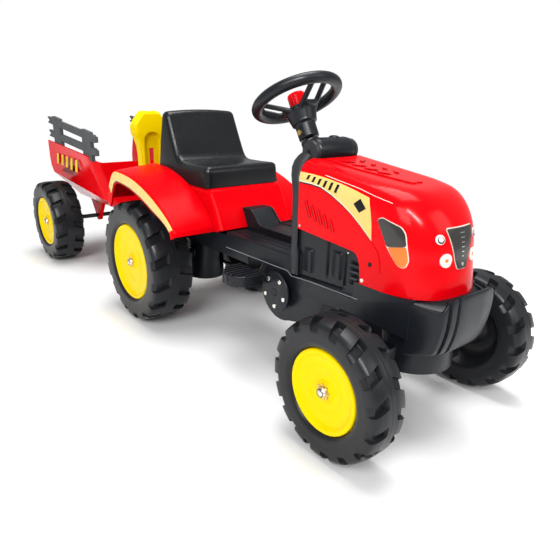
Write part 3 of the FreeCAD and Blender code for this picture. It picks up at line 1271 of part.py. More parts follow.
def trailer_drawbar():
    """The bar under the tub that reaches the hitch pin."""
    low = TONGUE_Z + TONGUE_THICKNESS + PLAY
    high = low + DRAWBAR_THICKNESS
    rise_x = TUB_FRONT_X + DRAWBAR_HALF
    under = TUB_FLOOR_Z - SEAT
    outline = [(HITCH_X, low), (HITCH_X, high), (rise_x, high), (TUB_FRONT_X - DRAWBAR_HALF, under)]
    outline += [(DRAWBAR_END_X, under), (DRAWBAR_END_X, under - DRAWBAR_THICKNESS)]
    outline += [(TUB_FRONT_X - DRAWBAR_HALF, under - DRAWBAR_THICKNESS), (rise_x, low)]
    bar = side_plate(outline, -DRAWBAR_HALF, DRAWBAR_HALF)
    eye = upright(DRAWBAR_HALF, HITCH_X, 0, low, high)
    bore = upright(HITCH_PIN_R + RUN, HITCH_X, 0, 0, SEAM_Z)
    return carve(join(bar, eye), bore)


def hitch_pin():
    top = TONGUE_Z + TONGUE_THICKNESS + PLAY + DRAWBAR_THICKNESS + PLAY
    shank = upright(HITCH_PIN_R, HITCH_X, 0, TONGUE_Z - HITCH_HEAD, top)
    head = upright(HITCH_HEAD_R, HITCH_X, 0, top, top + HITCH_HEAD)
    return join(shank, head)


def axle_brackets():
    """Two legs under the tub that carry the trailer axle."""
    low_y = BRACKET_Y - BRACKET_THICKNESS / 2
    high_y = BRACKET_Y + BRACKET_THICKNESS / 2
    x = -TRAILER_REACH
    top = TUB_FLOOR_Z - SEAT
    outline = [(x - BRACKET_TOP_HALF, top), (x + BRACKET_TOP_HALF, top), (x + BRACKET_EYE_R, TRAILER_WHEEL_R)]
    outline.append((x - BRACKET_EYE_R, TRAILER_WHEEL_R))
    leg = join(side_plate(outline, low_y, high_y), across(BRACKET_EYE_R, x, TRAILER_WHEEL_R, low_y, high_y))
    leg = carve(leg, across(AXLE_R + FIT, x, TRAILER_WHEEL_R, 0, high_y * 2))
    return leg, mirrored(leg)


def main():
    os.makedirs("parts", exist_ok=True)
    front_wheels()
    rear_wheels()
    trailer_wheels()

    save("lower_chassis", lower_chassis())
    save("upper_chassis", upper_chassis())
    save("rear_housing", rear_housing())
    save("front_bumper", front_bumper())
    save("front_axle_beam", front_axle_beam())
    save("kingpins", *kingpins())
    save("axle_bushes", *axle_bushes())

    rear_end = REAR_WHEEL_Y + cap_bottom(REAR_WHEEL_W)
    save("rear_axle", across(AXLE_R, 0, REAR_WHEEL_R, -rear_end, rear_end))
    save("rear_sprocket", placed(sprocket(REAR_TEETH, REAR_R), 0, CHAIN_Y, REAR_WHEEL_R))
    save("drive_sprocket", placed(sprocket(DRIVE_TEETH, DRIVE_R), CRANK_X, CHAIN_Y, CRANK_Z))
    save("drive_chain", drive_chain())
    save("crank_shaft", crank_shaft())
    save("crank_discs", crank_disc(1), crank_disc(-1))
    save("crank_rivets", *crank_rivets())
    save("pedal_left", pedal(1))
    save("pedal_right", pedal(-1))

    save("steering_wheel", steering_wheel())
    save("steering_screw", steering_screw())
    save("steering_rod", steering_rod())
    save("horn_button", horn_button())
    save("horn_spring", horn_spring())
    save("knuckle_left", knuckle())
    save("knuckle_right", mirrored(knuckle()))
    save("tie_rod", tie_rod())

    skin = hood_skin()
    save("hood", hood())
    save("grille_panel", grille_panel(skin))
    save("head_lamps", *round_lamp(skin, HEAD_LAMP_Y, HEAD_LAMP_Z, HEAD_LAMP_R))
    save("marker_lamps", *round_lamp(skin, MARKER_LAMP_Y, MARKER_LAMP_Z, MARKER_LAMP_R))
    save("side_lenses", *side_trim(skin, LENS_OUTLINE))
    save("indicator_lenses", *side_trim(skin, INDICATOR_OUTLINE))
    save("body_screws", *body_screws())
    save("engine_panels", engine_panel(), mirrored(engine_panel()))
    save("dash_console", dash_console())
    save("rear_body", rear_body())
    save("seat", seat())
    save("shovel", shovel())

    save("hitch_pin", hitch_pin())
    save("trailer_tub", trailer_tub())
    save("trailer_drawbar", trailer_drawbar())
    save("axle_brackets", *axle_brackets())
    trailer_end = TRAILER_WHEEL_Y + cap_bottom(TRAILER_WHEEL_W)
    save("trailer_axle", across(AXLE_R, -TRAILER_REACH, TRAILER_WHEEL_R, -trailer_end, trailer_end))
    save("trailer_fence_left", trailer_fence())
    save("trailer_fence_right", mirrored(trailer_fence()))

    print("origin of the rear axle", REAR_AXLE_X)
    print("knuckle arm", KNUCKLE_ARM, "tie rod at", PIN_X)


main()
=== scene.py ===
import bpy
import bmesh
import json
import math
from mathutils import Matrix, Vector
from mathutils.geometry import tessellate_polygon


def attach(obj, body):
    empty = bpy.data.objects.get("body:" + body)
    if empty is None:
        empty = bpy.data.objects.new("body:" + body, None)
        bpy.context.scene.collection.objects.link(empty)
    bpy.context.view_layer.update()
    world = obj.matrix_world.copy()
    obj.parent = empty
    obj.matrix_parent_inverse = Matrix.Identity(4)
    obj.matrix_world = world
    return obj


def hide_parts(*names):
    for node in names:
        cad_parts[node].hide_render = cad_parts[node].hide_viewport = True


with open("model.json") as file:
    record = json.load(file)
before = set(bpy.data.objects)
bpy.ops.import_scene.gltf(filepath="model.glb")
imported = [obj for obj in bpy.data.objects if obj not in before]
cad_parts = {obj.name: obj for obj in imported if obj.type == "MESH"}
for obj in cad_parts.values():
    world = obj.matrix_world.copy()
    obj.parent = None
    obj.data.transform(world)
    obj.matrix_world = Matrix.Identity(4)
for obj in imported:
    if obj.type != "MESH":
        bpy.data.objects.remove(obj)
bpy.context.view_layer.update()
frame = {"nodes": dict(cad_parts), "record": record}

# Sizes in millimetres, with X measured forward from the rear axle, as the solids were drawn
# MM is one millimetre in metres
MM = 0.001
REAR_AXLE_X = -20.0
WHEELBASE = 606.0
TRAILER_REACH = 556.0

# Shared by many pieces: metres between points that are one, degrees of an edge, steps of a round corner
MERGE_GAP = 0.00002
EDGE_ANGLE = 32.0
BEND_STEPS = 5

# Wheels: outer radius, width and bead radius, the place of the left middle, and both bodies
WHEEL_SIZES = {"front": (103, 62, 62), "rear": (130, 90, 82), "trailer": (113, 80, 69)}
WHEEL_PLACES = {"front": (WHEELBASE, 168), "rear": (0, 151), "trailer": (-TRAILER_REACH, 165)}
WHEEL_BODIES = {"front": ("front_wheel_left", "front_wheel_right"), "rear": ("rear_wheels", "rear_wheels")}
WHEEL_BODIES["trailer"] = ("trailer_wheel_left", "trailer_wheel_right")
LUG_COUNT = 16
LUG_HEIGHT = 9.0
SHOULDER_CUT = 4.5
CAP_SINK = 8.7
CAP_TEETH = 8
CAP_TOOTH_R = 12.4
CAP_ROOT_R = 9.6

# Tread, in shares of one pitch or of half the width
TREAD_LEAN = 0.30
GAP_MIDDLES = (0.25, 0.75)
GAP_HALF = 0.20
GAP_SOFT = 0.004
RIB_EDGE = (0.24, 0.30)

# Hood
HOOD_REAR_X = 417.0
HOOD_ROUND_X = 596.0
HOOD_ROUND_REACH = 94.0
HOOD_LOW_Z = 221.0
HOOD_SIDE_LOW_Z = 276.0
HOOD_STEP_Z = 267.0
HOOD_STEP_X = 532.0
HOOD_STEP_END_X = 557.0
HOOD_HALF = 80.0
HOOD_SLOPE = math.radians(7)
HOOD_BLEND = 34.0
HOOD_WALL = 3.5
HOOD_REACH = 260.0
SKIN_HALVINGS = 34
NOSE_MID_X = 590.0
NOSE_MID_Z = 272.0
NOSE_R = 92.0
NOSE_LEAN = 0.35
NOSE_BLEND = 30.0
NOSE_START_X = 560.0
NOSE_END_X = 650.0
HEAD_LAMP = (-31, 275)
MARKER_LAMP = (-40, 304)

# Rear body
REAR_AXLE_Z = WHEEL_SIZES["rear"][0]
FENDER_MID_X = 10.0
FENDER_HALF = 180.0
FENDER_EDGE_R = 8.0
FENDER_BANK = 12.0
FENDER_LIP = 28.0
BODY_HALF = 90.0
BODY_EDGE_R = 9.0
BODY_FLOOR_Z = 218.5
BODY_TOP_Z = 301.0
BODY_REAR_X = -128.0
BODY_FRONT_TOP_X = 165.0
BODY_FRONT_LOW_X = 205.0
BODY_WALL = 4.0

# Seat
SEAT_HALF = 89.0
SEAT_EDGE_R = 11.0
SEAT_LOW_Z = 302.0
SEAT_CROWN = 4.5
SEAT_CROWN_Z = 424.0
SEAT_CROWN_SPAN = 16.0
SEAT_NARROWING = 0.02
SEAT_BACK = (345, 437)

# Steering and console
WHEEL_CENTRE = (313, 0, 473)
COLUMN_TILT = math.radians(30)
SPOKE_START = math.radians(-1)
RIM_R = 71.8
RIM_WIDE = 9.9
RIM_TALL = 9.6
SPOKE_COUNT = 3
BUTTON_RIBS = 10
CONSOLE_X = 403.0
CONSOLE_ARM_OUT = 78.5

# Engine side: lines as depth and box, pockets as box and slant, heights of the louvres
ENGINE_FACE = 74.4
ENGINE_WALL = 2.0
ENGINE_REAR_X = 400.0
ENGINE_LOW_Z = 190.0
ENGINE_STEP = 1.1
ENGINE_SOFT = 0.9
ENGINE_LINES = [(5, 421.5, 424.5, 197, 232), (4.5, 483, 487, 210, 268)]
ENGINE_LINES += [(4, 521.6, 525, 203, 258)]
ENGINE_POCKETS = [(420, 451, 207, 246, 426, 448), (488, 515.5, 214, 256, 490, 512)]
ENGINE_LOUVRES = (248, 238, 227.5, 217.5)
ENGINE_SLANT = 4.5
ENGINE_GROOVE = 4.0
ENGINE_LIP = 1.4
ENGINE_SEAM_X = 407.0
ENGINE_SEAM_Z = 192.6
ENGINE_SEAM_SLOPE = 0.055

# Bumper, footboard and pedals
BUMPER_REAR_X = 646.0
BUMPER_BEND = 46.0
BUMPER_LOW_Z = 146.0
BUMPER_KNEE_Z = 208.0
BUMPER_TOP_Z = 213.0
BUMPER_RISE = 20.0
BUMPER_RISE_HALF = 62.0
BUMPER_TUCK = 12.0
BUMPER_END_DROP = 6.0
BUMPER_END_RISE = 5.0
BUMPER_TOP_ROUND = 1.4
BUMPER_LOW_ROUND = 3.0
SLAT_REAR_X = 206.0
SLAT_FRONT_X = 403.0
SLAT_LOW_Z = 218.0
SLAT_TOP_Z = 225.2
FLANK_HALF = 78.6
TUNNEL_HALF = 26.0
PEDAL_RIDGES = 7
PEDAL_RIDGE_HALF = 2.6
PEDAL_RIDGE_DEPTH = 4.0

# Shovel and fences
SHOVEL_Y = -54.0
SHOVEL_FRONT_X = -136.5
SHOVEL_DEPTH = 26.0
SHOVEL_LOW_Z = 252.0
SHOVEL_TOP_Z = 436.0
SHOVEL_WALL = 3.5
SHOVEL_ARCH_Z = 368.0
SHOVEL_ARCH_R = 20.0
SHOVEL_ARCH_DEPTH = 9.0
SHOVEL_SIDE_ROUND = 5.0
SHOVEL_TOP_ROUND = 4.0
SLOT_HALF = 6.6
SLOT_LOW_Z = 294.0
SLOT_TOP_Z = 352.0
SLOT_DEPTH = 14.0
POST_HALF = 29.0
RAIL_TONGUE = 10.0
RAIL_REAR_X = -655.0
RAIL_FRONT_X = -296.0
RAIL_BASE_X = -560.0

# Trailer tub, with its sections as half width and height
TUB_HALF = 137.0
TUB_TOP_Z = 333.0
TUB_REAR_X = -660.0
TUB_FRONT_X = -325.0
TUB_CORNER_R = 34.0
TUB_END_Z = 300.0
TUB_WALL = 4.0
TUB_REAR_TOP = Vector((TUB_HALF, TUB_TOP_Z))
TUB_REAR_WAIST = Vector((132, 240))
TUB_FRONT_TOP = Vector((TUB_HALF, 314))
TUB_FRONT_WAIST = Vector((98, 195))
TUB_FLOOR = Vector((60, 166))
TUB_REAR_BULGE = (0, 3.5, 6.5, 8.5, 6.5, -8, -8, -8)
TUB_LEAN = (TUB_REAR_TOP.x - TUB_REAR_WAIST.x) / (TUB_REAR_TOP.y - TUB_REAR_WAIST.y)
TUB_FALL = (TUB_REAR_TOP.y - TUB_FRONT_TOP.y) / (TUB_FRONT_X - TUB_REAR_X)

# Finishes and stage, in metres, shares and radians; the camera's place in millimetres
GRAIN_HEIGHT = 0.0006
BOUNCE_CALM = 0.8
WORLD_GLOW = 0.42
FLOOR_REACH = 6.0
FLOOR_FADE = (0.75, 1.35)
CAMERA_PLACE = (1049.1, -639.1, 482.7)
CAMERA_AZIMUTH = 0.8778
CAMERA_ELEVATION = 0.3387
CAMERA_ROLL = 0.0253
SENSOR_WIDTH = 36.0
FOCAL_PIXELS = 531.3
PHOTO_PIXELS = 560.0


def at(x, y, z):
    """A place in the frame, in metres, from millimetres measured from the rear axle."""
    return Vector(((x + REAR_AXLE_X) * MM, y * MM, z * MM))


# Shader groups shared by the finishes

def new_group(name, inputs, outputs):
    group = bpy.data.node_groups.new(name, "ShaderNodeTree")
    for kind, label, value in inputs:
        socket = group.interface.new_socket(name=label, in_out="INPUT", socket_type=kind)
        socket.default_value = value
    for kind, label in outputs:
        group.interface.new_socket(name=label, in_out="OUTPUT", socket_type=kind)
    start = group.nodes.new("NodeGroupInput")
    end = group.nodes.new("NodeGroupOutput")
    return group, start, end


def feed(tree, value, socket):
    """Links a socket to another one, or sets it to a plain value."""
    if isinstance(value, bpy.types.NodeSocket):
        tree.links.new(value, socket)
    else:
        socket.default_value = value


def add_noise(tree, vector, scale, detail, roughness=0.5):
    node = tree.nodes.new("ShaderNodeTexNoise")
    node.inputs["Scale"].default_value = scale
    node.inputs["Detail"].default_value = detail
    node.inputs["Roughness"].default_value = roughness
    tree.links.new(vector, node.inputs["Vector"])
    return node.outputs["Fac"]


def add_math(tree, operation, first, second):
    node = tree.nodes.new("ShaderNodeMath")
    node.operation = operation
    feed(tree, first, node.inputs[0])
    feed(tree, second, node.inputs[1])
    return node.outputs[0]


def add_range(tree, value, low, high, to_low, to_high):
    node = tree.nodes.new("ShaderNodeMapRange")
    labels = ("Value", "From Min", "From Max", "To Min", "To Max")
    for label, given in zip(labels, (value, low, high, to_low, to_high)):
        feed(tree, given, node.inputs[label])
    return node.outputs["Result"]


def add_mix(tree, factor, first, second):
    node = tree.nodes.new("ShaderNodeMix")
    node.data_type = "RGBA"
    for label, given in (("Factor", factor), ("A", first), ("B", second)):
        feed(tree, given, node.inputs[label])
    return node.outputs["Result"]


def add_group(tree, group, values):
    node = tree.nodes.new("ShaderNodeGroup")
    node.node_tree = group
    for label, value in values.items():
        feed(tree, value, node.inputs[label])
    return node


def make_moulding_group():
    """Cloudy tone, uneven gloss and fine grain of moulded plastic."""
    inputs = [("NodeSocketColor", "Tone", (0.5, 0.5, 0.5, 1))]
    inputs += [("NodeSocketColor", "Deep Tone", (0.4, 0.4, 0.4, 1))]
    inputs += [("NodeSocketFloat", "Gloss Low", 0.3), ("NodeSocketFloat", "Gloss High", 0.5)]
    inputs += [("NodeSocketFloat", "Grain", 0.5)]
    outputs = [("NodeSocketColor", "Color"), ("NodeSocketFloat", "Roughness"), ("NodeSocketFloat", "Height")]
    group, start, end = new_group("moulding", inputs, outputs)
    place = group.nodes.new("ShaderNodeTexCoord").outputs["Object"]
    cloud = add_noise(group, place, 14, 3)
    patch = add_noise(group, place, 60, 4, 0.6)
    grain = add_noise(group, place, 1400, 2)
    ripple = add_noise(group, place, 45, 1)
    blend = add_range(group, cloud, 0.35, 0.65, 0, 1)
    colour = add_mix(group, blend, start.outputs["Tone"], start.outputs["Deep Tone"])
    rough = add_range(group, patch, 0.3, 0.7, start.outputs["Gloss Low"], start.outputs["Gloss High"])
    fine = add_math(group, "MULTIPLY", grain, start.outputs["Grain"])
    height = add_math(group, "ADD", fine, ripple)
    group.links.new(colour, end.inputs["Color"])
    group.links.new(rough, end.inputs["Roughness"])
    group.links.new(height, end.inputs["Height"])
    return group


def make_scuff_group():
    """Fine scratches and a little dust that lie in patches."""
    inputs = [("NodeSocketColor", "Color", (0.5, 0.5, 0.5, 1))]
    inputs += [("NodeSocketColor", "Scuff", (0.6, 0.6, 0.6, 1))]
    inputs += [("NodeSocketFloat", "Amount", 0.2)]
    group, start, end = new_group("scuffs", inputs, [("NodeSocketColor", "Color")])
    place = group.nodes.new("ShaderNodeTexCoord").outputs["Object"]
    stretch = group.nodes.new("ShaderNodeMapping")
    stretch.inputs["Scale"].default_value = (40, 260, 320)
    stretch.inputs["Rotation"].default_value = (0.3, 0.7, 0.2)
    group.links.new(place, stretch.inputs["Vector"])
    lines = add_noise(group, stretch.outputs["Vector"], 1, 3, 0.6)
    zones = add_noise(group, place, 11, 2)
    sharp = add_range(group, lines, 0.62, 0.74, 0, 1)
    where = add_range(group, zones, 0.48, 0.66, 0, 1)
    both = add_math(group, "MULTIPLY", sharp, where)
    mask = add_math(group, "MULTIPLY", both, start.outputs["Amount"])
    colour = add_mix(group, mask, start.outputs["Color"], start.outputs["Scuff"])
    group.links.new(colour, end.inputs["Color"])
    return group


MOULDING = make_moulding_group()
SCUFFS = make_scuff_group()


def moulded(name, tone, deep, gloss, grain, bump, scuff, amount, shine=0.5):
    """A moulded plastic with its own tone, gloss and grain."""
    material = bpy.data.materials.new(name)
    material.use_nodes = True
    tree = material.node_tree
    shader = tree.nodes["Principled BSDF"]
    values = {"Tone": (*tone, 1), "Deep Tone": (*deep, 1), "Grain": grain}
    values.update({"Gloss Low": gloss[0], "Gloss High": gloss[1]})
    skin = add_group(tree, MOULDING, values)
    values = {"Color": skin.outputs["Color"], "Scuff": (*scuff, 1), "Amount": amount}
    marks = add_group(tree, SCUFFS, values)
    lift = tree.nodes.new("ShaderNodeBump")
    lift.inputs["Strength"].default_value = bump
    lift.inputs["Distance"].default_value = GRAIN_HEIGHT
    tree.links.new(skin.outputs["Height"], lift.inputs["Height"])
    values = {"Base Color": marks.outputs["Color"], "Roughness": skin.outputs["Roughness"]}
    values.update({"Normal": lift.outputs["Normal"], "Specular IOR Level": shine})
    for label, value in values.items():
        feed(tree, value, shader.inputs[label])
    return material


def plated(name, tone, deep, gloss):
    """A plated metal with faint blotches."""
    material = moulded(name, tone, deep, gloss, 0.6, 0.10, deep, 0.5)
    material.node_tree.nodes["Principled BSDF"].inputs["Metallic"].default_value = 1.0
    return material


def calm_bounce(material, tone):
    """Lets a strong colour throw only a weak tint on the pieces and the floor round it."""
    tree = material.node_tree
    shader = tree.nodes["Principled BSDF"]
    colour = shader.inputs["Base Color"].links[0].from_socket
    ray = tree.nodes.new("ShaderNodeLightPath")
    either = add_math(tree, "MAXIMUM", ray.outputs["Is Diffuse Ray"], ray.outputs["Is Glossy Ray"])
    weak = add_math(tree, "MULTIPLY", either, BOUNCE_CALM)
    tree.links.new(add_mix(tree, weak, colour, (*tone, 1)), shader.inputs["Base Color"])
    return material


RED = moulded("red_plastic", (0.88, 0.0006, 0.005), (0.84, 0.0004, 0.004), (0.14, 0.20), 0.06, 0.03,
              (0.90, 0.02, 0.02), 0.06, 0.12)
calm_bounce(RED, (0.10, 0.04, 0.04))
BODY_RED = moulded("body_red", (0.88, 0.0006, 0.005), (0.84, 0.0004, 0.004), (0.22, 0.30), 0.06, 0.03,
                   (0.90, 0.02, 0.02), 0.06, 0.03)
calm_bounce(BODY_RED, (0.20, 0.03, 0.03))
# Dark red of painted shade for louvre grooves, scoop hollows and the trailer's wheel arch
SHADE_RED = moulded("red_shade_paint", (0.24, 0.0005, 0.003), (0.20, 0.0004, 0.002), (0.30, 0.40), 0.08, 0.04,
                 (0.30, 0.02, 0.02), 0.08, 0.1)
BLACK = moulded("black_plastic", (0.0095, 0.0115, 0.0155), (0.0075, 0.009, 0.0125), (0.30, 0.38), 0.5, 0.10,
                (0.04, 0.04, 0.05), 0.20, 0.28)
CONSOLE = moulded("console_plastic", (0.034, 0.034, 0.038), (0.029, 0.029, 0.033), (0.34, 0.42), 0.5, 0.10,
                  (0.06, 0.06, 0.07), 0.20, 0.28)
SEAT = moulded("seat_plastic", (0.0085, 0.009, 0.0105), (0.0070, 0.0075, 0.0085), (0.22, 0.28), 0.3, 0.06,
               (0.03, 0.03, 0.04), 0.15, 0.32)
TYRE = moulded("tyre_plastic", (0.0150, 0.0158, 0.0185), (0.0120, 0.0128, 0.0150), (0.28, 0.36), 0.5, 0.10,
               (0.05, 0.05, 0.06), 0.20, 0.25)
# A pale grey for the painted highlight along the flank seam
SEAM_HIGHLIGHT = moulded("seam_highlight_paint", (0.24, 0.25, 0.27), (0.20, 0.21, 0.23), (0.30, 0.40), 0.3, 0.05,
               (0.30, 0.30, 0.32), 0.15, 0.30)
GREY = moulded("fence_plastic", (0.085, 0.088, 0.094), (0.070, 0.073, 0.078), (0.45, 0.58), 0.6, 0.18,
               (0.16, 0.16, 0.17), 0.25, 0.30)
YELLOW = moulded("yellow_plastic", (0.95, 0.69, 0.0006), (0.93, 0.67, 0.0005), (0.20, 0.26), 0.10, 0.03,
                 (0.96, 0.76, 0.05), 0.05, 0.06)
STEEL = plated("black_steel", (0.050, 0.050, 0.052), (0.035, 0.035, 0.037), (0.40, 0.55))
ZINC = plated("zinc_steel", (0.78, 0.76, 0.72), (0.66, 0.63, 0.57), (0.20, 0.32))
BRASS = plated("brass_screw", (0.78, 0.54, 0.18), (0.62, 0.40, 0.12), (0.22, 0.34))
SMOKE = moulded("dark_lens", (0.040, 0.038, 0.034), (0.032, 0.030, 0.027), (0.10, 0.16), 0.05, 0.03,
                (0.10, 0.10, 0.10), 0.10, 0.5)
AMBER = moulded("orange_lens", (0.88, 0.24, 0.016), (0.80, 0.18, 0.010), (0.12, 0.20), 0.10, 0.05,
                (0.90, 0.45, 0.12), 0.10, 0.5)
WHITE = moulded("white_lamp", (0.88, 0.86, 0.82), (0.82, 0.80, 0.76), (0.15, 0.25), 0.10, 0.05,
                (0.70, 0.68, 0.64), 0.10, 0.5)
SILVER = plated("silver_lamp", (0.80, 0.80, 0.82), (0.62, 0.62, 0.64), (0.12, 0.22))
CREAM = moulded("cream_film", (0.90, 0.63, 0.17), (0.88, 0.65, 0.22), (0.22, 0.30), 0.10, 0.04,
                (0.94, 0.82, 0.45), 0.12, 0.3)
PALE = moulded("pale_film", (0.92, 0.86, 0.76), (0.88, 0.82, 0.72), (0.20, 0.30), 0.10, 0.04,
               (0.80, 0.76, 0.70), 0.12, 0.3)
# Dark film for print on decals and lamps, and for painted shade in holes and over the front wheels
INK_AND_SHADE = moulded("dark_print_and_shade_film", (0.010, 0.009, 0.013), (0.008, 0.007, 0.010), (0.26, 0.36), 0.10, 0.04,
              (0.03, 0.03, 0.04), 0.12, 0.15)


# Mesh helpers

def add_object(name, data):
    item = bpy.data.objects.new(name, data)
    bpy.context.scene.collection.objects.link(item)
    return item


def new_piece(name, points, faces, material):
    mesh = bpy.data.meshes.new(name)
    mesh.from_pydata([tuple(point) for point in points], [], faces)
    mesh.validate()
    mesh.materials.append(material)
    return add_object(name, mesh)


def smooth(piece, angle):
    for polygon in piece.data.polygons:
        polygon.use_smooth = True
    piece.data.set_sharp_from_angle(angle=math.radians(angle))


def clean(piece):
    """Merges doubles and turns all faces outwards."""
    work = bmesh.new()
    work.from_mesh(piece.data)
    bmesh.ops.remove_doubles(work, verts=work.verts, dist=MERGE_GAP)
    bmesh.ops.dissolve_degenerate(work, edges=work.edges, dist=MERGE_GAP / 4)
    bmesh.ops.recalc_face_normals(work, faces=work.faces)
    work.to_mesh(piece.data)
    work.free()


def bake(piece):
    """Turns a piece and its modifiers into a plain mesh."""
    bpy.context.view_layer.update()
    seen = piece.evaluated_get(bpy.context.evaluated_depsgraph_get())
    mesh = bpy.data.meshes.new_from_object(seen)
    piece.modifiers.clear()
    piece.data = mesh


def unite(name, pieces):
    """Puts several plain meshes into one piece, with their materials."""
    work = bmesh.new()
    materials = []
    for piece in pieces:
        places = []
        for material in piece.data.materials:
            if material not in materials:
                materials.append(material)
            places.append(materials.index(material))
        first = len(work.faces)
        work.from_mesh(piece.data)
        work.faces.ensure_lookup_table()
        for face in work.faces[first:]:
            face.material_index = places[min(face.material_index, len(places) - 1)]
    mesh = bpy.data.meshes.new(name)
    work.to_mesh(mesh)
    work.free()
    for material in materials:
        mesh.materials.append(material)
    for piece in pieces:
        bpy.data.objects.remove(piece)
    return add_object(name, mesh)


def settle(piece, body, slot, *nodes):
    """Lets a piece ride on its body, in place of the solids that it stands for."""
    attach(piece, body)
    if nodes:
        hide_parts(*nodes)
    return piece


def shift(piece, place):
    piece.data.transform(Matrix.Translation(place))
    return piece


def flip_side(piece):
    """A copy on the other side of the vehicle."""
    mesh = piece.data.copy()
    mesh.transform(Matrix.Scale(-1, 4, (0, 1, 0)))
    mesh.flip_normals()
    return add_object(piece.name, mesh)


def pair(pieces, name, body, slot, *nodes):
    """Sets pieces of the right side and their mirror images as one piece."""
    both = list(pieces)
    for piece in pieces:
        both.append(flip_side(piece))
    whole = unite(name, both)
    smooth(whole, 40)
    return settle(whole, body, slot, *nodes)


def turns(count):
    """Angles at equal steps round a full circle."""
    return [2 * math.pi * step / count for step in range(count)]


def grid(rows, wrap_row=False, wrap_column=False):
    """Points and faces of a net of rows of points."""
    count = len(rows[0])
    points = [point for row in rows for point in row]
    faces = []
    last_row = len(rows) if wrap_row else len(rows) - 1
    last_column = count if wrap_column else count - 1
    for row in range(last_row):
        below = row * count
        above = ((row + 1) % len(rows)) * count
        for column in range(last_column):
            beside = (column + 1) % count
            faces.append((below + column, below + beside, above + beside, above + column))
    return points, faces


def closed(name, rows, material, axes=None):
    """A piece from closed rows of points; an end with hollows is filled in the view of two axes."""
    points, faces = grid(rows, wrap_column=True)
    count = len(rows[0])
    for first, row in ((0, rows[0]), (len(points) - count, rows[-1])):
        if axes:
            flat = [Vector((spot[axes[0]], spot[axes[1]], 0)) for spot in row]
            for corners in tessellate_polygon([flat]):
                faces.append(tuple(first + corner for corner in corners))
        else:
            faces.append(tuple(range(first, first + count)))
    piece = new_piece(name, points, faces, material)
    clean(piece)
    return piece


def face_outwards(piece, middle):
    """Turns the faces of an open skin away from a place inside it."""
    outward = sum((face.center - middle).dot(face.normal) * face.area for face in piece.data.polygons)
    if outward < 0:
        piece.data.flip_normals()


def add_wall(piece, thickness, angle, offset=-1):
    """Gives a skin its thickness and makes it a plain mesh."""
    wall = piece.modifiers.new("wall", "SOLIDIFY")
    wall.thickness = thickness * MM
    wall.offset = offset
    bake(piece)
    smooth(piece, angle)


def walled(name, points, faces, material, inside, thickness, angle):
    """An open skin that faces away from a place inside it, with a wall on that side."""
    piece = new_piece(name, points, faces, material)
    clean(piece)
    face_outwards(piece, inside)
    add_wall(piece, thickness, angle)
    return piece


def round_edges(piece, width, segments=3):
    """Rounds the edges of a piece and makes it a plain mesh."""
    for polygon in piece.data.polygons:
        polygon.use_smooth = True
    round_over = piece.modifiers.new("edges", "BEVEL")
    round_over.width = width * MM
    round_over.segments = segments
    round_over.limit_method = "ANGLE"
    round_over.angle_limit = math.radians(EDGE_ANGLE)
    round_over.use_clamp_overlap = True
    round_over.harden_normals = True
    bake(piece)
    return piece


def softened(node, material, width, body, slot):
    """A copy of a solid with rounded edges, in its place."""
    piece = add_object(node + "_soft", frame["nodes"][node].data.copy())
    piece.data.materials.clear()
    piece.data.materials.append(material)
    work = bmesh.new()
    work.from_mesh(piece.data)
    bmesh.ops.remove_doubles(work, verts=work.verts, dist=MERGE_GAP / 2)
    bmesh.ops.dissolve_limit(work, angle_limit=math.radians(0.6), verts=work.verts, edges=work.edges)
    for face in work.faces:
        face.material_index = 0
    work.to_mesh(piece.data)
    work.free()
    round_edges(piece, width)
    return settle(piece, body, slot, node)


def solid_box(node):
    """Corners of a solid in millimetres from the rear axle."""
    spots = [vertex.co / MM for vertex in frame["nodes"][node].data.vertices]
    low = Vector([min(spot[axis] for spot in spots) for axis in range(3)])
    high = Vector([max(spot[axis] for spot in spots) for axis in range(3)])
    low.x -= REAR_AXLE_X
    high.x -= REAR_AXLE_X
    return low, high


# Outlines and places

def side_view(u, v, level):
    return at(u, -level, v)


def top_view(u, v, level):
    return at(u, v, level)


def end_view(u, v, level):
    return at(level, u, v)


def plain_place(u, v, y):
    return at(u, y, v)


def box(low_u, low_v, high_u, high_v):
    return [(low_u, low_v), (high_u, low_v), (high_u, high_v), (low_u, high_v)]


def circle(u, v, radius, steps=36):
    return [(u + radius * math.cos(angle), v + radius * math.sin(angle)) for angle in turns(steps)]


def soft_step(value, low, high):
    """Rises from nought to one between two values."""
    share = min(max((value - low) / (high - low), 0), 1)
    return share * share * (3 - 2 * share)


def even(points, count):
    """Points at equal steps along a line of points."""
    lengths = [0]
    for first, second in zip(points, points[1:]):
        lengths.append(lengths[-1] + (second - first).length)
    result = []
    place = 0
    for index in range(count):
        goal = lengths[-1] * index / (count - 1)
        while place < len(points) - 2 and lengths[place + 1] < goal:
            place += 1
        span = lengths[place + 1] - lengths[place]
        share = 0.0 if span == 0 else (goal - lengths[place]) / span
        result.append(points[place].lerp(points[place + 1], share))
    return result


def rounded(outline, radius):
    """An outline with its corners rounded."""
    result = []
    count = len(outline)
    for index in range(count):
        corner = Vector(outline[index])
        before = Vector(outline[index - 1]) - corner
        after = Vector(outline[(index + 1) % count]) - corner
        reach = min(radius, before.length * 0.45, after.length * 0.45)
        start = corner + before.normalized() * reach
        end = corner + after.normalized() * reach
        for step in range(BEND_STEPS + 1):
            share = step / BEND_STEPS
            spot = start.lerp(corner, share).lerp(corner.lerp(end, share), share)
            result.append((spot.x, spot.y))
    return result


def grown(outline, distance):
    """A closed outline drawn out by a distance, or in by a negative one."""
    count = len(outline)
    area = sum(outline[i - 1][0] * outline[i][1] - outline[i][0] * outline[i - 1][1] for i in range(count))
    result = []
    for index in range(count):
        spot = Vector(outline[index])
        along = Vector(outline[(index + 1) % count]) - Vector(outline[index - 1])
        outward = Vector((along.y, -along.x)).normalized() * math.copysign(1, area)
        spot = spot + outward * distance
        result.append((spot.x, spot.y))
    return result


# Kinds of pieces

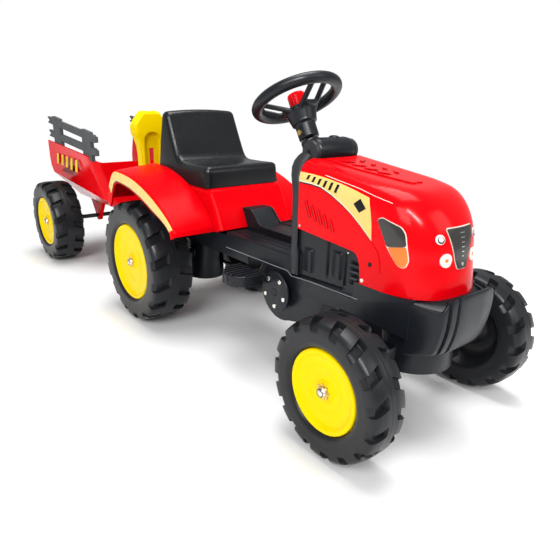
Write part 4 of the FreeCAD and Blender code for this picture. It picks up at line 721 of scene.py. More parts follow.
def lathe(name, profile, material, steps):
    """A turned piece about the Y axis from (radius, offset) points in millimetres."""
    rows = []
    for angle in turns(steps):
        row = []
        for radius, offset in profile:
            row.append(Vector((radius * math.cos(angle), offset, radius * math.sin(angle))) * MM)
        rows.append(row)
    points, faces = grid(rows, wrap_row=True)
    piece = new_piece(name, points, faces, material)
    clean(piece)
    return piece


def upright_lathe(name, profile, material, steps):
    piece = lathe(name, profile, material, steps)
    piece.data.transform(Matrix.Rotation(math.pi / 2, 4, "X"))
    return piece


def prism(name, outline, low, high, place, material, width, segments=3):
    """A block with a flat outline between two levels, with rounded edges."""
    count = len(outline)
    points = [place(u, v, low) for u, v in outline] + [place(u, v, high) for u, v in outline]
    faces = [tuple(range(count)), tuple(range(count, 2 * count))]
    for index in range(count):
        beside = (index + 1) % count
        faces.append((index, beside, beside + count, index + count))
    piece = new_piece(name, points, faces, material)
    clean(piece)
    return round_edges(piece, width, segments)


def film(name, outline, place, material, lift, thickness=0.35, fineness=5):
    """A thin piece laid on a curved skin from an outline in the flat view."""
    work = bmesh.new()
    work.faces.new([work.verts.new((u, v, 0)) for u, v in outline])
    for axis in range(2):
        normal = Vector((1 - axis, axis, 0))
        low = min(spot[axis] for spot in outline)
        high = max(spot[axis] for spot in outline)
        count = max(int((high - low) / fineness), 1)
        for index in range(1, count):
            base = normal * (low + (high - low) * index / count)
            parts = list(work.verts) + list(work.edges) + list(work.faces)
            bmesh.ops.bisect_plane(work, geom=parts, plane_co=base, plane_no=normal)
    for vertex in work.verts:
        vertex.co = place(vertex.co.x, vertex.co.y, lift)
    bmesh.ops.recalc_face_normals(work, faces=work.faces)
    mesh = bpy.data.meshes.new(name)
    work.to_mesh(mesh)
    work.free()
    mesh.materials.append(material)
    outward = place(*outline[0], lift + 2) - place(*outline[0], lift)
    if mesh.polygons[0].normal.dot(outward) < 0:
        mesh.flip_normals()
    piece = add_object(name, mesh)
    add_wall(piece, thickness, 40)
    return piece


def tube(name, first, last, radius, material, steps=16, flat=1):
    """A round or flattened bar between two places in millimetres."""
    start = Vector(first) * MM
    end = Vector(last) * MM
    along = (end - start).normalized()
    side = along.cross(Vector((0, 0, 1)))
    side = side.normalized() if side.length > 0.01 else Vector((1, 0, 0))
    up = side.cross(along)
    rows = []
    for spot in (start, end):
        row = []
        for angle in turns(steps):
            row.append(spot + (side * math.cos(angle) * flat + up * math.sin(angle)) * radius * MM)
        rows.append(row)
    return closed(name, rows, material)


def swept(name, spots, wide, thick, side, material, steps, angle):
    """A bar along a line of places in millimetres whose oval section changes from place to place."""
    rows = []
    for index, spot in enumerate(spots):
        before = Vector(spots[max(index - 1, 0)])
        after = Vector(spots[min(index + 1, len(spots) - 1)])
        up = side.cross((after - before).normalized()).normalized()
        row = []
        for turn in turns(steps):
            place = Vector(spot) + side * math.cos(turn) * wide[index] + up * math.sin(turn) * thick[index]
            row.append(at(*place))
        rows.append(row)
    piece = closed(name, rows, material)
    smooth(piece, angle)
    return piece


def bead(name, spots, radius, material):
    """A thin round bead along a bent line of places in millimetres."""
    same = [radius] * len(spots)
    return swept(name, spots, same, same, Vector((0, 1, 0)), material, 10, 50)


def rounded_block(name, outline, half, edge, material, place, levels=()):
    """A block across the vehicle from a side outline, with rounded side edges."""
    steps = 6
    side = []
    for step in range(steps + 1):
        angle = math.pi / 2 * step / steps
        side.append((half - edge * (1 - math.sin(angle)), edge * (1 - math.cos(angle))))
    inner = [(y, 0) for y in levels]
    right = [(-y, tuck) for y, tuck in reversed(inner + side)]
    rows = []
    for y, tuck in right + inner + side:
        rows.append([place(u, v, y) for u, v in grown(outline, -tuck)])
    piece = closed(name, rows, material, (0, 2))
    smooth(piece, 40)
    return piece


def blend_together(name, pieces, grain, rounds):
    """Melts overlapping bars and turned pieces into one moulding with soft inner corners."""
    whole = unite(name, pieces)
    mesh = whole.modifiers.new("mesh", "REMESH")
    mesh.mode = "VOXEL"
    mesh.voxel_size = grain * MM
    mesh.use_smooth_shade = True
    soft = whole.modifiers.new("soft", "SMOOTH")
    soft.factor = 0.5
    soft.iterations = rounds
    bake(whole)
    return whole


# Repeats round an axle

def ring_tree():
    """Copies of a piece in a ring about the Y axis."""
    tree = bpy.data.node_groups.new("ring_of_pieces", "GeometryNodeTree")
    sockets = [("Geometry", "INPUT", "NodeSocketGeometry"), ("Count", "INPUT", "NodeSocketInt")]
    sockets += [("Finish", "INPUT", "NodeSocketMaterial"), ("Geometry", "OUTPUT", "NodeSocketGeometry")]
    for label, way, kind in sockets:
        tree.interface.new_socket(name=label, in_out=way, socket_type=kind)
    kinds = ["NodeGroupInput", "GeometryNodeMeshLine", "GeometryNodeInputIndex", "ShaderNodeMath"]
    kinds += ["ShaderNodeMath", "ShaderNodeCombineXYZ", "GeometryNodeInstanceOnPoints"]
    kinds += ["GeometryNodeRealizeInstances", "GeometryNodeSetMaterial", "NodeGroupOutput"]
    start, spots, number, step, turn, angles, copies, solid, paint, end = map(tree.nodes.new, kinds)
    spots.inputs["Offset"].default_value = (0, 0, 0)
    step.operation = "DIVIDE"
    step.inputs[0].default_value = 2 * math.pi
    turn.operation = "MULTIPLY"
    links = [(start, "Count", spots, "Count"), (start, "Count", step, 1), (number, "Index", turn, 0)]
    links += [(step, 0, turn, 1), (turn, 0, angles, "Y"), (spots, "Mesh", copies, "Points")]
    links += [(start, "Geometry", copies, "Instance"), (angles, "Vector", copies, "Rotation")]
    links += [(copies, "Instances", solid, "Geometry"), (solid, "Geometry", paint, "Geometry")]
    links += [(start, "Finish", paint, "Material"), (paint, "Geometry", end, "Geometry")]
    for giver, outlet, taker, inlet in links:
        tree.links.new(giver.outputs[outlet], taker.inputs[inlet])
    return tree


RING = ring_tree()


def socket_key(tree, label):
    for item in tree.interface.items_tree:
        if item.in_out == "INPUT" and item.name == label:
            return item.identifier
    raise KeyError(label)


def in_a_ring(piece, count, material):
    """Repeats a piece round the Y axis and makes the ring a plain mesh."""
    maker = piece.modifiers.new("ring", "NODES")
    maker.node_group = RING
    maker[socket_key(RING, "Count")] = count
    maker[socket_key(RING, "Finish")] = material
    bake(piece)
    return piece


# Wheels

def tyre_profile(radius, half, bead_r):
    """Half of the outer outline of a tyre, from the bead to the middle of the tread."""
    middle = (bead_r + radius) / 2
    points = [(bead_r - 1, half - 10), (bead_r + 1, half - 6), (bead_r + 4.5, half - 2.6)]
    points += [(bead_r + 9, half - 1), (middle, half - 0.2), (radius - 13, half - 0.4)]
    points += [(radius - 7.5, half - 1.4), (radius - 4, half - 4), (radius - 2, half - 8.5)]
    points += [(radius - 0.8, half - 15), (radius - 0.2, half * 0.36), (radius - 0.4, 1.6)]
    points += [(radius, 0.7), (radius, 0)]
    return [Vector(spot) for spot in points]


def wheel_web(half, bead_r):
    """The closed inner side of a wheel, from the inner bead to the axle."""
    points = [(bead_r - 5, 14.0 - half), (bead_r - 9, 24.0 - half), (bead_r - 16, 30.0 - half)]
    points += [(bead_r * 0.55, 32.0 - half), (24, 30.0 - half), (20, 20.0 - half)]
    points += [(17, 16.0 - half), (8, 16.0 - half)]
    return [Vector(spot) for spot in points]


def gap_share(share, offset, half):
    """One inside a gap of the tread and nought on a lug, for a share of one pitch."""
    middle = GAP_MIDDLES[0] if offset > 0 else GAP_MIDDLES[1]
    along = 1.0 - soft_step(abs(share - middle), GAP_HALF - GAP_SOFT, GAP_HALF + GAP_SOFT)
    return along * soft_step(abs(offset) / half, *RIB_EDGE)


def pitch_steps():
    """Shares of one pitch, close together at the edges of the gaps."""
    steps = []
    for middle in GAP_MIDDLES:
        for apart in (0.25, 0.218, 0.204, 0.196, 0.18, 0.13, 0.06):
            steps.append(middle - apart)
        for apart in (0, 0.06, 0.13, 0.18, 0.196, 0.204, 0.218):
            steps.append(middle + apart)
    return steps + [1]


def tyre_wedge(radius, half, bead_r):
    """One pitch of a tyre: a lug and a gap on each half of the tread, and the closed inner side."""
    line = even(tyre_profile(radius, half, bead_r), 40)
    outer = line + [Vector((spot.x, -spot.y)) for spot in reversed(line[:-1])]
    floor = radius - LUG_HEIGHT
    pitch = 2 * math.pi / LUG_COUNT
    rows = []
    for share in pitch_steps():
        row = []
        for spot in outer:
            far = abs(spot.y) / half
            gap = gap_share(share, spot.y, half)
            reach = spot.x - max(spot.x - floor, 0) * gap
            outside = soft_step(far, 0.6, 0.95) * soft_step(spot.x, radius - 17, radius - 10)
            width = spot.y * (1.0 - SHOULDER_CUT * gap * outside / half)
            angle = pitch * (share + TREAD_LEAN * far)
            row.append(Vector((reach * math.sin(angle), width, reach * math.cos(angle))) * MM)
        angle = pitch * (share + TREAD_LEAN)
        for spot in wheel_web(half, bead_r):
            row.append(Vector((spot.x * math.sin(angle), spot.y, spot.x * math.cos(angle))) * MM)
        rows.append(row)
    points, faces = grid(rows, wrap_column=True)
    return new_piece("wedge", points, faces, TYRE)


def tyre(radius, width, bead_r):
    whole = in_a_ring(tyre_wedge(radius, width / 2, bead_r), LUG_COUNT, TYRE)
    clean(whole)
    smooth(whole, 38)
    return whole


def hub(radius, width):
    """A dished hub with a rolled rim, a shallow pressed ring and a boss."""
    half = width / 2
    rim = radius - 0.4
    face = half - 4.0
    dish = half - 13.0
    profile = [(6.4, half - 9.2), (13, half - 9), (14.6, half - 9.8), (15.4, dish + 1.5), (17.5, dish)]
    profile += [(rim * 0.50, dish + 0.4), (rim * 0.53, dish + 1.6), (rim * 0.57, dish + 1.9)]
    profile += [(rim * 0.61, dish + 1.2), (rim - 14, dish + 2.6), (rim - 10, dish + 4.2)]
    profile += [(rim - 7.4, face - 1.2), (rim - 6, face - 0.2), (rim - 4.5, face), (rim - 1.6, face - 0.3)]
    profile += [(rim - 0.3, face - 1.6), (rim, face - 4), (rim, dish - 4), (15, dish - 4)]
    profile += [(15, dish - 9), (6.4, dish - 9), (6.4, half - 9.2)]
    whole = lathe("hub", profile, YELLOW, 96)
    smooth(whole, 50)
    return whole


def axle_cap(width):
    """A toothed push-on washer with a domed cap."""
    face = width / 2 - CAP_SINK
    dome = [(0, face + 7.9), (3.5, face + 7.5), (6.4, face + 6), (7.9, face + 3.6), (8.2, face + 1.4)]
    dome += [(8.2, face + 0.2), (0, face + 0.2)]
    cap = lathe("cap", dome, ZINC, 40)
    rows = []
    for level in (face + 0.1, face + 1.5):
        row = []
        for index, angle in enumerate(turns(CAP_TEETH * 4)):
            radius = CAP_TOOTH_R if index % 4 in (0, 1) else CAP_ROOT_R
            row.append(Vector((radius * math.cos(angle), level, radius * math.sin(angle))) * MM)
        rows.append(row)
    whole = unite("cap", [cap, closed("star", rows, BRASS)])
    smooth(whole, 35)
    return whole


def wheel_middle(wheel):
    """The middle of a left wheel, which stands on the floor."""
    x, y = WHEEL_PLACES[wheel]
    return at(x, y, WHEEL_SIZES[wheel][0])


def place_wheel(piece, name, wheel, bodies, slot):
    """Sets a piece at the middle of a left wheel and its mirror image on the right."""
    left = shift(piece, wheel_middle(wheel))
    left.name = name + "_left_form"
    right = flip_side(left)
    right.name = name + "_right_form"
    settle(left, bodies[0], slot, name + "_left")
    settle(right, bodies[1], slot, name + "_right")


def make_wheels():
    """Tyres, hubs and axle caps of the six wheels."""
    for wheel, (radius, width, bead_r) in WHEEL_SIZES.items():
        form = tyre(radius, width, bead_r)
        place_wheel(form, wheel + "_tyre", wheel, WHEEL_BODIES[wheel], "tyre_plastic")
    for wheel, (radius, width, bead_r) in WHEEL_SIZES.items():
        form = hub(bead_r, width)
        place_wheel(form, wheel + "_hub", wheel, WHEEL_BODIES[wheel], "yellow_plastic")
    cap = axle_cap(WHEEL_SIZES["front"][1])
    place_wheel(cap, "front_cap", "front", ("left_knuckle", "right_knuckle"), "zinc_steel")
    for wheel, body in (("rear", "rear_wheels"), ("trailer", "trailer")):
        left = shift(axle_cap(WHEEL_SIZES[wheel][1]), wheel_middle(wheel))
        caps = unite(wheel + "_caps_form", [left, flip_side(left)])
        smooth(caps, 35)
        settle(caps, body, "zinc_steel", wheel + "_caps")


# Hood

def larger(first, second, reach):
    """The larger of two distances, with a soft passage between them."""
    near = max(reach - abs(first - second), 0) / reach
    return max(first, second) + near * near * reach * 0.25


def hood_gap(x, y, z):
    """How far a place lies outside the hood's outer form; negative inside."""
    run = x - NOSE_MID_X
    rise = z - NOSE_MID_Z
    along = run * math.cos(HOOD_SLOPE) - rise * math.sin(HOOD_SLOPE)
    if rise < 0.0:
        side = run - NOSE_R + NOSE_LEAN * rise
    elif along > 0.0:
        side = math.hypot(run, rise) - NOSE_R
    else:
        side = run * math.sin(HOOD_SLOPE) + rise * math.cos(HOOD_SLOPE) - NOSE_R
    ahead = max(x - HOOD_ROUND_X, 0) * HOOD_HALF / HOOD_ROUND_REACH
    plan = math.hypot(ahead, y) - HOOD_HALF
    return larger(side, plan, HOOD_BLEND + NOSE_BLEND * soft_step(x, NOSE_START_X, NOSE_END_X))


def find_skin(test, low, high):
    """The last value on the inner side of a skin, found by halving."""
    for step in range(SKIN_HALVINGS):
        middle = (low + high) / 2
        if test(middle) < 0.0:
            low = middle
        else:
            high = middle
    return low


def on_hood_side(x, z, lift):
    """A point on the right flank of the hood, just proud of it."""
    y = find_skin(lambda value: hood_gap(x, value, z), 0, HOOD_HALF * 1.5)
    return at(x, -y - lift, z)


def on_hood_front(y, z, lift):
    """A point on the hood's nose, just proud of it."""
    x = find_skin(lambda value: hood_gap(value, y, z), HOOD_ROUND_X, HOOD_ROUND_X + 120)
    return at(x + lift, y, z)


def on_hood_top(x, y, lift):
    """A point on the hood's top, just proud of it."""
    z = find_skin(lambda value: hood_gap(x, y, value), NOSE_MID_Z, NOSE_MID_Z * 1.6)
    return at(x, y, z + lift)


def hood_low_edge(x):
    """Height of the hood's lower edge on its flank."""
    if x <= HOOD_STEP_X:
        share = (x - HOOD_REAR_X) / (HOOD_STEP_X - HOOD_REAR_X)
        return HOOD_SIDE_LOW_Z + (HOOD_STEP_Z - HOOD_SIDE_LOW_Z) * share
    share = min((x - HOOD_STEP_X) / (HOOD_STEP_END_X - HOOD_STEP_X), 1)
    drop = 1.0 - (1.0 - share ** 3) ** (1 / 3)
    return HOOD_STEP_Z + (HOOD_LOW_Z - HOOD_STEP_Z) * drop


def hood_row(foot_x, rise, first, columns):
    """A row of points over the hood, in a plane that leans forward from its foot."""
    spots = []
    steps = 150
    for step in range(steps + 1):
        angle = first + (math.pi - 2 * first) * step / steps
        across = math.cos(angle)
        run = math.sin(angle) * math.cos(rise)
        climb = math.sin(angle) * math.sin(rise)
        reach = find_skin(lambda far: hood_gap(foot_x + run * far, across * far, HOOD_LOW_Z + climb * far),
                          0, HOOD_REACH)
        spots.append(at(foot_x + run * reach, across * reach, HOOD_LOW_Z + climb * reach))
    return even(spots, columns)


def make_hood():
    """The hood's skin: upright rows along its flanks, then a fan of rows over its nose."""
    columns = 81
    fan = 32
    stations = [HOOD_REAR_X + step * 12.0 for step in range(9)]
    for share in (0, 0.3, 0.5, 0.65, 0.78, 0.88, 0.94, 0.975, 0.993, 1):
        stations.append(HOOD_STEP_X + share * (HOOD_STEP_END_X - HOOD_STEP_X))
    stations += [564, 573, 584, HOOD_ROUND_X]
    rows = []
    for x in stations:
        first = math.atan2(hood_low_edge(x) - HOOD_LOW_Z, HOOD_HALF)
        rows.append(hood_row(x, math.pi / 2, first, columns))
    for step in range(1, fan + 1):
        rows.append(hood_row(HOOD_ROUND_X, math.pi / 2 * (1 - step / fan), 0, columns))
    points, faces = grid(rows)
    skin = walled("hood_form", points, faces, RED, at(540, 0, 250), HOOD_WALL, 50)
    settle(skin, "chassis", "red_plastic", "hood")


def make_hood_stripe():
    """Cream stripe on each flank with a pale and a dark line below it and a fine pale line above."""
    low = [(417.5, 353.5), (445, 353), (466, 351), (490, 343), (514, 332), (532, 322)]
    low += [(548, 311), (561, 301), (574, 291)]
    high = [(563, 348.5), (545, 352.5), (528, 356), (505, 360), (478, 363.5), (450, 366)]
    high += [(417.5, 367)]
    cream = film("stripe", low + [(572, 312), (568, 333)] + high, on_hood_side, CREAM, 0.4)
    pieces = [cream]
    for material, upper, lower in ((PALE, 0, 1.6), (INK_AND_SHADE, 1.6, 3.6)):
        edge = [(x + upper * 0.4, z - upper) for x, z in low]
        under = [(x + lower * 0.4, z - lower) for x, z in reversed(low)]
        pieces.append(film("line", edge + under, on_hood_side, material, 0.4))
    pin = [(470, 367.2), (540, 357.7), (600, 346.1), (600, 346.7), (540, 358.4), (470, 367.9)]
    pieces.append(film("pin", pin, on_hood_side, PALE, 0.4))
    for index in range(6):
        x = 437.0 + index * 12.5
        z = 360.5 - index * 1.7
        tall = 3.6 + index * 0.5
        shape = [(x - 4, z - tall), (x + 1, z - tall), (x + 4.5, z + tall), (x - 0.5, z + tall)]
        pieces.append(film("bar", shape, on_hood_side, INK_AND_SHADE, 0.75, 0.3))
    badge = [(536, 336), (548, 325), (560, 333), (548, 345)]
    pieces.append(film("badge", badge, on_hood_side, INK_AND_SHADE, 0.75, 0.3))
    pair(pieces, "hood_stripes", "chassis", "yellow_plastic")


def make_side_lamps():
    """A dark lens above an orange one on each flank, with one pale border round both."""
    head = [(583, 322), (591, 326), (620, 318), (627, 310)]
    foot = [(635, 274), (632, 264), (624, 264), (618, 269)]
    border = grown(rounded(head + foot + [(603, 288)], 4), 0.9)
    rim = film("rim", border, on_hood_side, PALE, 0.7, 0.5, 3)
    pair([rim], "lamp_borders", "chassis", "white_lamp")
    lens = rounded(head + [(631, 293), (603, 288)], 4)
    dark = film("lens", lens, on_hood_side, SMOKE, 1.7, 1.2, 3)
    pair([dark], "side_lens_forms", "chassis", "dark_lens", "side_lenses")
    lens = rounded([(604, 287.6), (631, 292.5)] + foot, 4)
    amber = film("amber", lens, on_hood_side, AMBER, 1.7, 1.2, 3)
    pair([amber], "indicator_forms", "chassis", "orange_lens", "indicator_lenses")


def make_hood_details():
    """Louvres and a fold on each flank, and a raised wedge with scoops on the top; the shade in the louvre
    grooves and scoop hollows is painted on as dark red film.
    """
    pieces = []
    lean = math.radians(24)
    for index in range(5):
        middle = Vector((438.5 + 13.6 * index, 310.5 - 4.1 * index))
        half = (29.0 - 2.3 * index) / 2
        along = Vector((math.sin(lean), -math.cos(lean)))
        across = Vector((math.cos(lean), math.sin(lean)))
        # Each louvre: a dark red film of painted shade in its groove, and a raised red slat
        for material, shift_by, wide, lift in ((SHADE_RED, 0, 1.7, 0.25), (RED, 3, 1.5, 1.5)):
            shape = []
            for length, width in ((-half, -wide), (half, -wide), (half, wide), (-half, wide)):
                spot = middle + along * length + across * (width + shift_by)
                shape.append((spot.x, spot.y))
            pieces.append(film("louvre", rounded(shape, 1.4), on_hood_side, material, lift, 1.4))
    fold = [(568, 291), (579, 282), (587, 273), (591, 260), (592.5, 246)]
    band = [(x + 2.2, z + 1.2) for x, z in reversed(fold)]
    pieces.append(film("fold", fold + band, on_hood_side, RED, 1, 1.4, 3))
    wedge = rounded([(430, -40), (500, -34), (585, -13), (585, 0), (430, 0)], 6)
    pieces.append(film("wedge", wedge, on_hood_top, RED, 1.8, 2.4, 6))
    for index in range(4):
        x = 462.0 + index * 24.0
        y = -25.0 + index * 2.5
        shape = rounded([(x - 9, y), (x - 4, y - 2), (x + 10, -9), (x + 3, -7)], 3)
        # A dark red film of painted shade in the scoop's hollow, then its raised red lip
        pieces.append(film("scoop", shape, on_hood_top, SHADE_RED, 2.1, 0.6, 4))
        lip = [(u - 3.5, v - 1) for u, v in shape]
        pieces.append(film("scoop", lip, on_hood_top, RED, 3.6, 2.2, 4))
    pair(pieces, "hood_details", "chassis", "red_plastic")


def make_front_lamps():
    """Two round lamps on each side of the grille, each made of three discs."""
    head = [("rim", (*HEAD_LAMP, 9.5), WHITE, 1.6, 1.6, 3)]
    head += [("glass", (*HEAD_LAMP, 6.8), PALE, 2.1, 0.6, 3)]
    head += [("screw", (*HEAD_LAMP, 2.6), AMBER, 2.4, 0.5, 2)]
    marker = [("rim", (*MARKER_LAMP, 6.6), WHITE, 1.6, 1.4, 3)]
    marker += [("dark", (-39.4, 303.4, 4.7), INK_AND_SHADE, 1.9, 0.5, 2)]
    marker += [("glass", (-39.6, 304.4, 3.5), WHITE, 2.2, 0.6, 2)]
    for lamp, slot, discs in (("head_lamp", "white_lamp", head), ("marker_lamp", "silver_lamp", marker)):
        pieces = []
        for name, ring, material, lift, thickness, fineness in discs:
            pieces.append(film(name, circle(*ring), on_hood_front, material, lift, thickness, fineness))
        pair(pieces, lamp + "_forms", "chassis", slot, lamp + "s")


def make_grille():
    """A dark grille with a pale border, a column of bright ticks and a screw."""
    outline = [(-28, 317), (28, 317), (10, 261), (-10, 261)]
    border = film("border", grown(rounded(outline, 3), 1.1), on_hood_front, PALE, 0.6, 0.5, 4)
    plate = film("plate", rounded(outline, 3), on_hood_front, SMOKE, 1.9, 1.4, 4)
    pieces = [border, plate]
    for index in range(6):
        z = 310.0 - index * 6.4
        half = 5.0 - index * 0.6
        shape = [(-half, z - 0.7), (half, z - 0.7), (half, z + 0.7), (-half, z + 0.7)]
        pieces.append(film("tick", shape, on_hood_front, SILVER, 2.2, 0.4))
    pieces.append(film("screw", circle(0, 267, 2.6), on_hood_front, ZINC, 2.5, 0.8, 2))
    whole = unite("grille_form", pieces)
    smooth(whole, 40)
    settle(whole, "chassis", "dark_lens", "grille_panel")


def make_screws():
    """A dark disc of painted shade for a hole, two bright rivets and a small screw on each side of the hood
    and the engine.
    """
    # A dark disc of painted shade stands for the hole
    pieces = [film("hole_shade", circle(575, 255, 3.4), on_hood_side, INK_AND_SHADE, 0.4, 0.4, 2)]
    for u, v, radius in ((562.5, 227.5, 3), (422.5, 281, 2)):
        for step in range(3):
            disc = circle(u, v, radius * (1.0 - 0.28 * step))
            pieces.append(film("dome", disc, on_hood_side, ZINC, 0.7 + 0.5 * step, 0.6, 1.5))
    pieces.append(prism("screw", circle(528, 260, 1.6, 16), 74, 76.4, side_view, ZINC, 0.4, 2))
    pair(pieces, "body_screw_forms", "chassis", "zinc_steel", "body_screws")


# Rear body

def fender_line():
    """Side view of a fender's outer upper edge, from its front foot over the wheel to its rear foot."""
    corners = [(181, 221.5), (179, 234), (152, 257), (95, 289), (14, 313), (-55, 318)]
    corners += [(-86, 316), (-108, 290), (-130, 249)]
    line = [Vector(corners[0])]
    for before, spot, after in zip(corners, corners[1:], corners[2:]):
        start = (Vector(before) + Vector(spot)) / 2
        end = (Vector(spot) + Vector(after)) / 2
        for step in range(9):
            share = step / 8
            line.append(start.lerp(Vector(spot), share).lerp(Vector(spot).lerp(end, share), share))
    line.append(Vector(corners[-1]))
    return even(line, 73)


def fender_lip(share):
    """Height of the fender's outer lip along the fender."""
    return FENDER_LIP * (0.45 + 0.55 * soft_step(share, 0, 0.3))


def fender_spot(spot, share, y, sunk):
    """A place on a fender: banked down towards its outer edge, and sunk towards the axle on its lip."""
    bank = FENDER_BANK * math.sin(math.pi * share) ** 0.6
    inner = 1.0 - min(max((y - BODY_HALF) / (FENDER_HALF - FENDER_EDGE_R - BODY_HALF), 0), 1)
    down = (Vector((FENDER_MID_X, REAR_AXLE_Z)) - spot).normalized() * sunk
    return at(spot.x + down.x, -y, spot.y + bank * inner + down.y)


def fender_skin():
    line = fender_line()
    rows = []
    for index, spot in enumerate(line):
        share = index / (len(line) - 1)
        row = []
        for y in (BODY_HALF - 4, 95, 105, 120, 135, 150, 160):
            row.append(fender_spot(spot, share, y, 0))
        for step in range(7):
            angle = math.pi / 2 * step / 6
            y = FENDER_HALF - FENDER_EDGE_R * (1 - math.sin(angle))
            row.append(fender_spot(spot, share, y, FENDER_EDGE_R * (1 - math.cos(angle))))
        for step in range(1, 5):
            sunk = FENDER_EDGE_R + (fender_lip(share) - FENDER_EDGE_R) * step / 4
            row.append(fender_spot(spot, share, FENDER_HALF, sunk))
        rows.append(row)
    points, faces = grid(rows)
    return walled("fender", points, faces, BODY_RED, at(0, -100, 130), BODY_WALL, 45)


def fender_wall():
    """The upright wall between a fender and the middle of the rear body."""
    line = fender_line()
    outline = []
    for index, spot in enumerate(line):
        place = fender_spot(spot, index / (len(line) - 1), BODY_HALF - 2, 2) / MM
        outline.append((place.x - REAR_AXLE_X, max(place.z, BODY_FLOOR_Z)))
    outline.append((-120, BODY_FLOOR_Z))
    return prism("fender_wall", outline, BODY_HALF - 4, BODY_HALF, side_view, BODY_RED, 0.4, 1)


def make_rear_body():
    """The block under the seat with both fenders and the holder of the shovel."""
    corners = [(BODY_FRONT_LOW_X, BODY_FLOOR_Z + 9), (188, 262), (BODY_FRONT_TOP_X, BODY_TOP_Z)]
    corners += [(BODY_REAR_X, BODY_TOP_Z), (BODY_REAR_X, BODY_FLOOR_Z)]
    bends = rounded(corners, BODY_EDGE_R)
    outline = [corners[0]] + bends[BEND_STEPS + 1:-BEND_STEPS - 1] + [corners[-1], (180, BODY_FLOOR_Z)]
    middle = rounded_block("middle", outline, BODY_HALF, BODY_EDGE_R, BODY_RED, plain_place)
    right = [fender_skin(), fender_wall()]
    left = [flip_side(piece) for piece in right]
    holder = prism("holder", box(-92, 248, -18, 268), -150, -124, end_view, BODY_RED, 2)
    whole = unite("rear_body_form", [middle, holder] + right + left)
    settle(whole, "chassis", "red_plastic", "rear_body")


def make_fender_stripe():
    """Cream stripe on the outer lip of each fender with a dark line under it."""
    line = fender_line()
    pieces = []
    for material, low, high in ((CREAM, 0.13, 0.86), (INK_AND_SHADE, 0.86, 0.93)):
        rows = []
        for index, spot in enumerate(line[3:66], 3):
            share = index / (len(line) - 1)
            row = []
            for step in range(9):
                sunk = fender_lip(share) * (low + (high - low) * step / 8)
                y = FENDER_HALF
                if sunk < FENDER_EDGE_R:
                    y -= FENDER_EDGE_R - math.sqrt(FENDER_EDGE_R ** 2 - (FENDER_EDGE_R - sunk) ** 2)
                row.append(fender_spot(spot, share, y, sunk) + Vector((0, -0.4, 0.2)) * MM)
            rows.append(row)
        points, faces = grid(rows)
        piece = new_piece("film", points, faces, material)
        add_wall(piece, 0.3, 40, 0)
        pieces.append(piece)
    pair(pieces, "fender_stripes", "chassis", "yellow_plastic")


# Seat

def seat_place(u, v, y):
    """A place on the seat: a flat underside, a back that narrows a little and a crowned top edge."""
    share = y / SEAT_HALF
    height = SEAT_LOW_Z if v < SEAT_LOW_Z + SEAT_EDGE_R + 2.0 else v
    if v > SEAT_CROWN_Z:
        height += SEAT_CROWN * (1.0 - share * share) * (v - SEAT_CROWN_Z) / SEAT_CROWN_SPAN
    return at(u, y * (1.0 - SEAT_NARROWING * soft_step(v, *SEAT_BACK)), height)


def make_seat():
    """A moulded seat: a leaning back that runs in a curve into a pan with a tall front edge."""
    line = [(-46, SEAT_LOW_Z), (156, SEAT_LOW_Z), (156, 330), (154.6, 337), (151, 341.6)]
    line += [(145, 343), (110, 341.6), (70, 341), (58, 341.8), (49, 344.4), (42, 349)]
    line += [(36, 357), (24, 380), (12, 405), (0, 430), (-3, 435.4), (-7.6, 438.6)]
    line += [(-13, 439.6), (-20, 438.8), (-25, 435), (-28, 428), (-38, 380)]
    levels = (12, 26, 40, 54, 66, 74)
    seat = rounded_block("seat_form", line, SEAT_HALF, SEAT_EDGE_R, SEAT, seat_place, levels)
    settle(seat, "chassis", "seat_plastic", "seat")


# Steering

def tilt_onto_column(piece):
    """Turns a piece made about the Z axis at the origin onto the steering column."""
    turn = Matrix.Rotation(-COLUMN_TILT, 4, "Y")
    piece.data.transform(Matrix.Translation(at(*WHEEL_CENTRE)) @ turn)
    return piece


def spoke(turn):
    """Two bars with a foot and a head between them, turned about the wheel's own axis."""
    parts = []
    for offset in (-13, 13):
        parts.append(tube("bar", (18, offset * 1.15, -24.5), (70, offset, 3), 4.2, BLACK, 16, 1.25))
    parts.append(tube("foot", (29, -11, -20.5), (29, 11, -20.5), 4.6, BLACK))
    parts.append(tube("head", (63, -12, -0.5), (63, 12, -0.5), 4, BLACK))
    for part in parts:
        part.data.transform(Matrix.Rotation(turn, 4, "Z"))
    return parts


def make_steering_wheel():
    """A round rim on three double spokes and a sleeve."""
    rows = []
    for angle in turns(96):
        row = []
        for across in turns(24):
            radius = RIM_R + RIM_WIDE * math.cos(across)
            spot = (radius * math.cos(angle), radius * math.sin(angle), RIM_TALL * math.sin(across))
            row.append(Vector(spot) * MM)
        rows.append(row)
    points, faces = grid(rows, wrap_row=True, wrap_column=True)
    ring = new_piece("ring", points, faces, BLACK)
    clean(ring)
    smooth(ring, 180)
    line = [(16.4, -19), (26, -18), (28, -20), (28, -24), (25, -34), (22.4, -43)]
    line += [(22.4, -46), (19.6, -47), (18, -48.5), (17.8, -73.5), (7, -74), (7, -45)]
    line += [(16.4, -30), (16.4, -19)]
    pieces = [upright_lathe("hub", line, BLACK, 64)]
    for turn in turns(SPOKE_COUNT):
        pieces += spoke(SPOKE_START + turn)
    middle = blend_together("spokes", pieces, 1.1, 6)
    smooth(middle, 60)
    wheel = unite("steering_wheel_form", [ring, middle])
    tilt_onto_column(wheel)
    settle(wheel, "steering", "black_plastic", "steering_wheel")


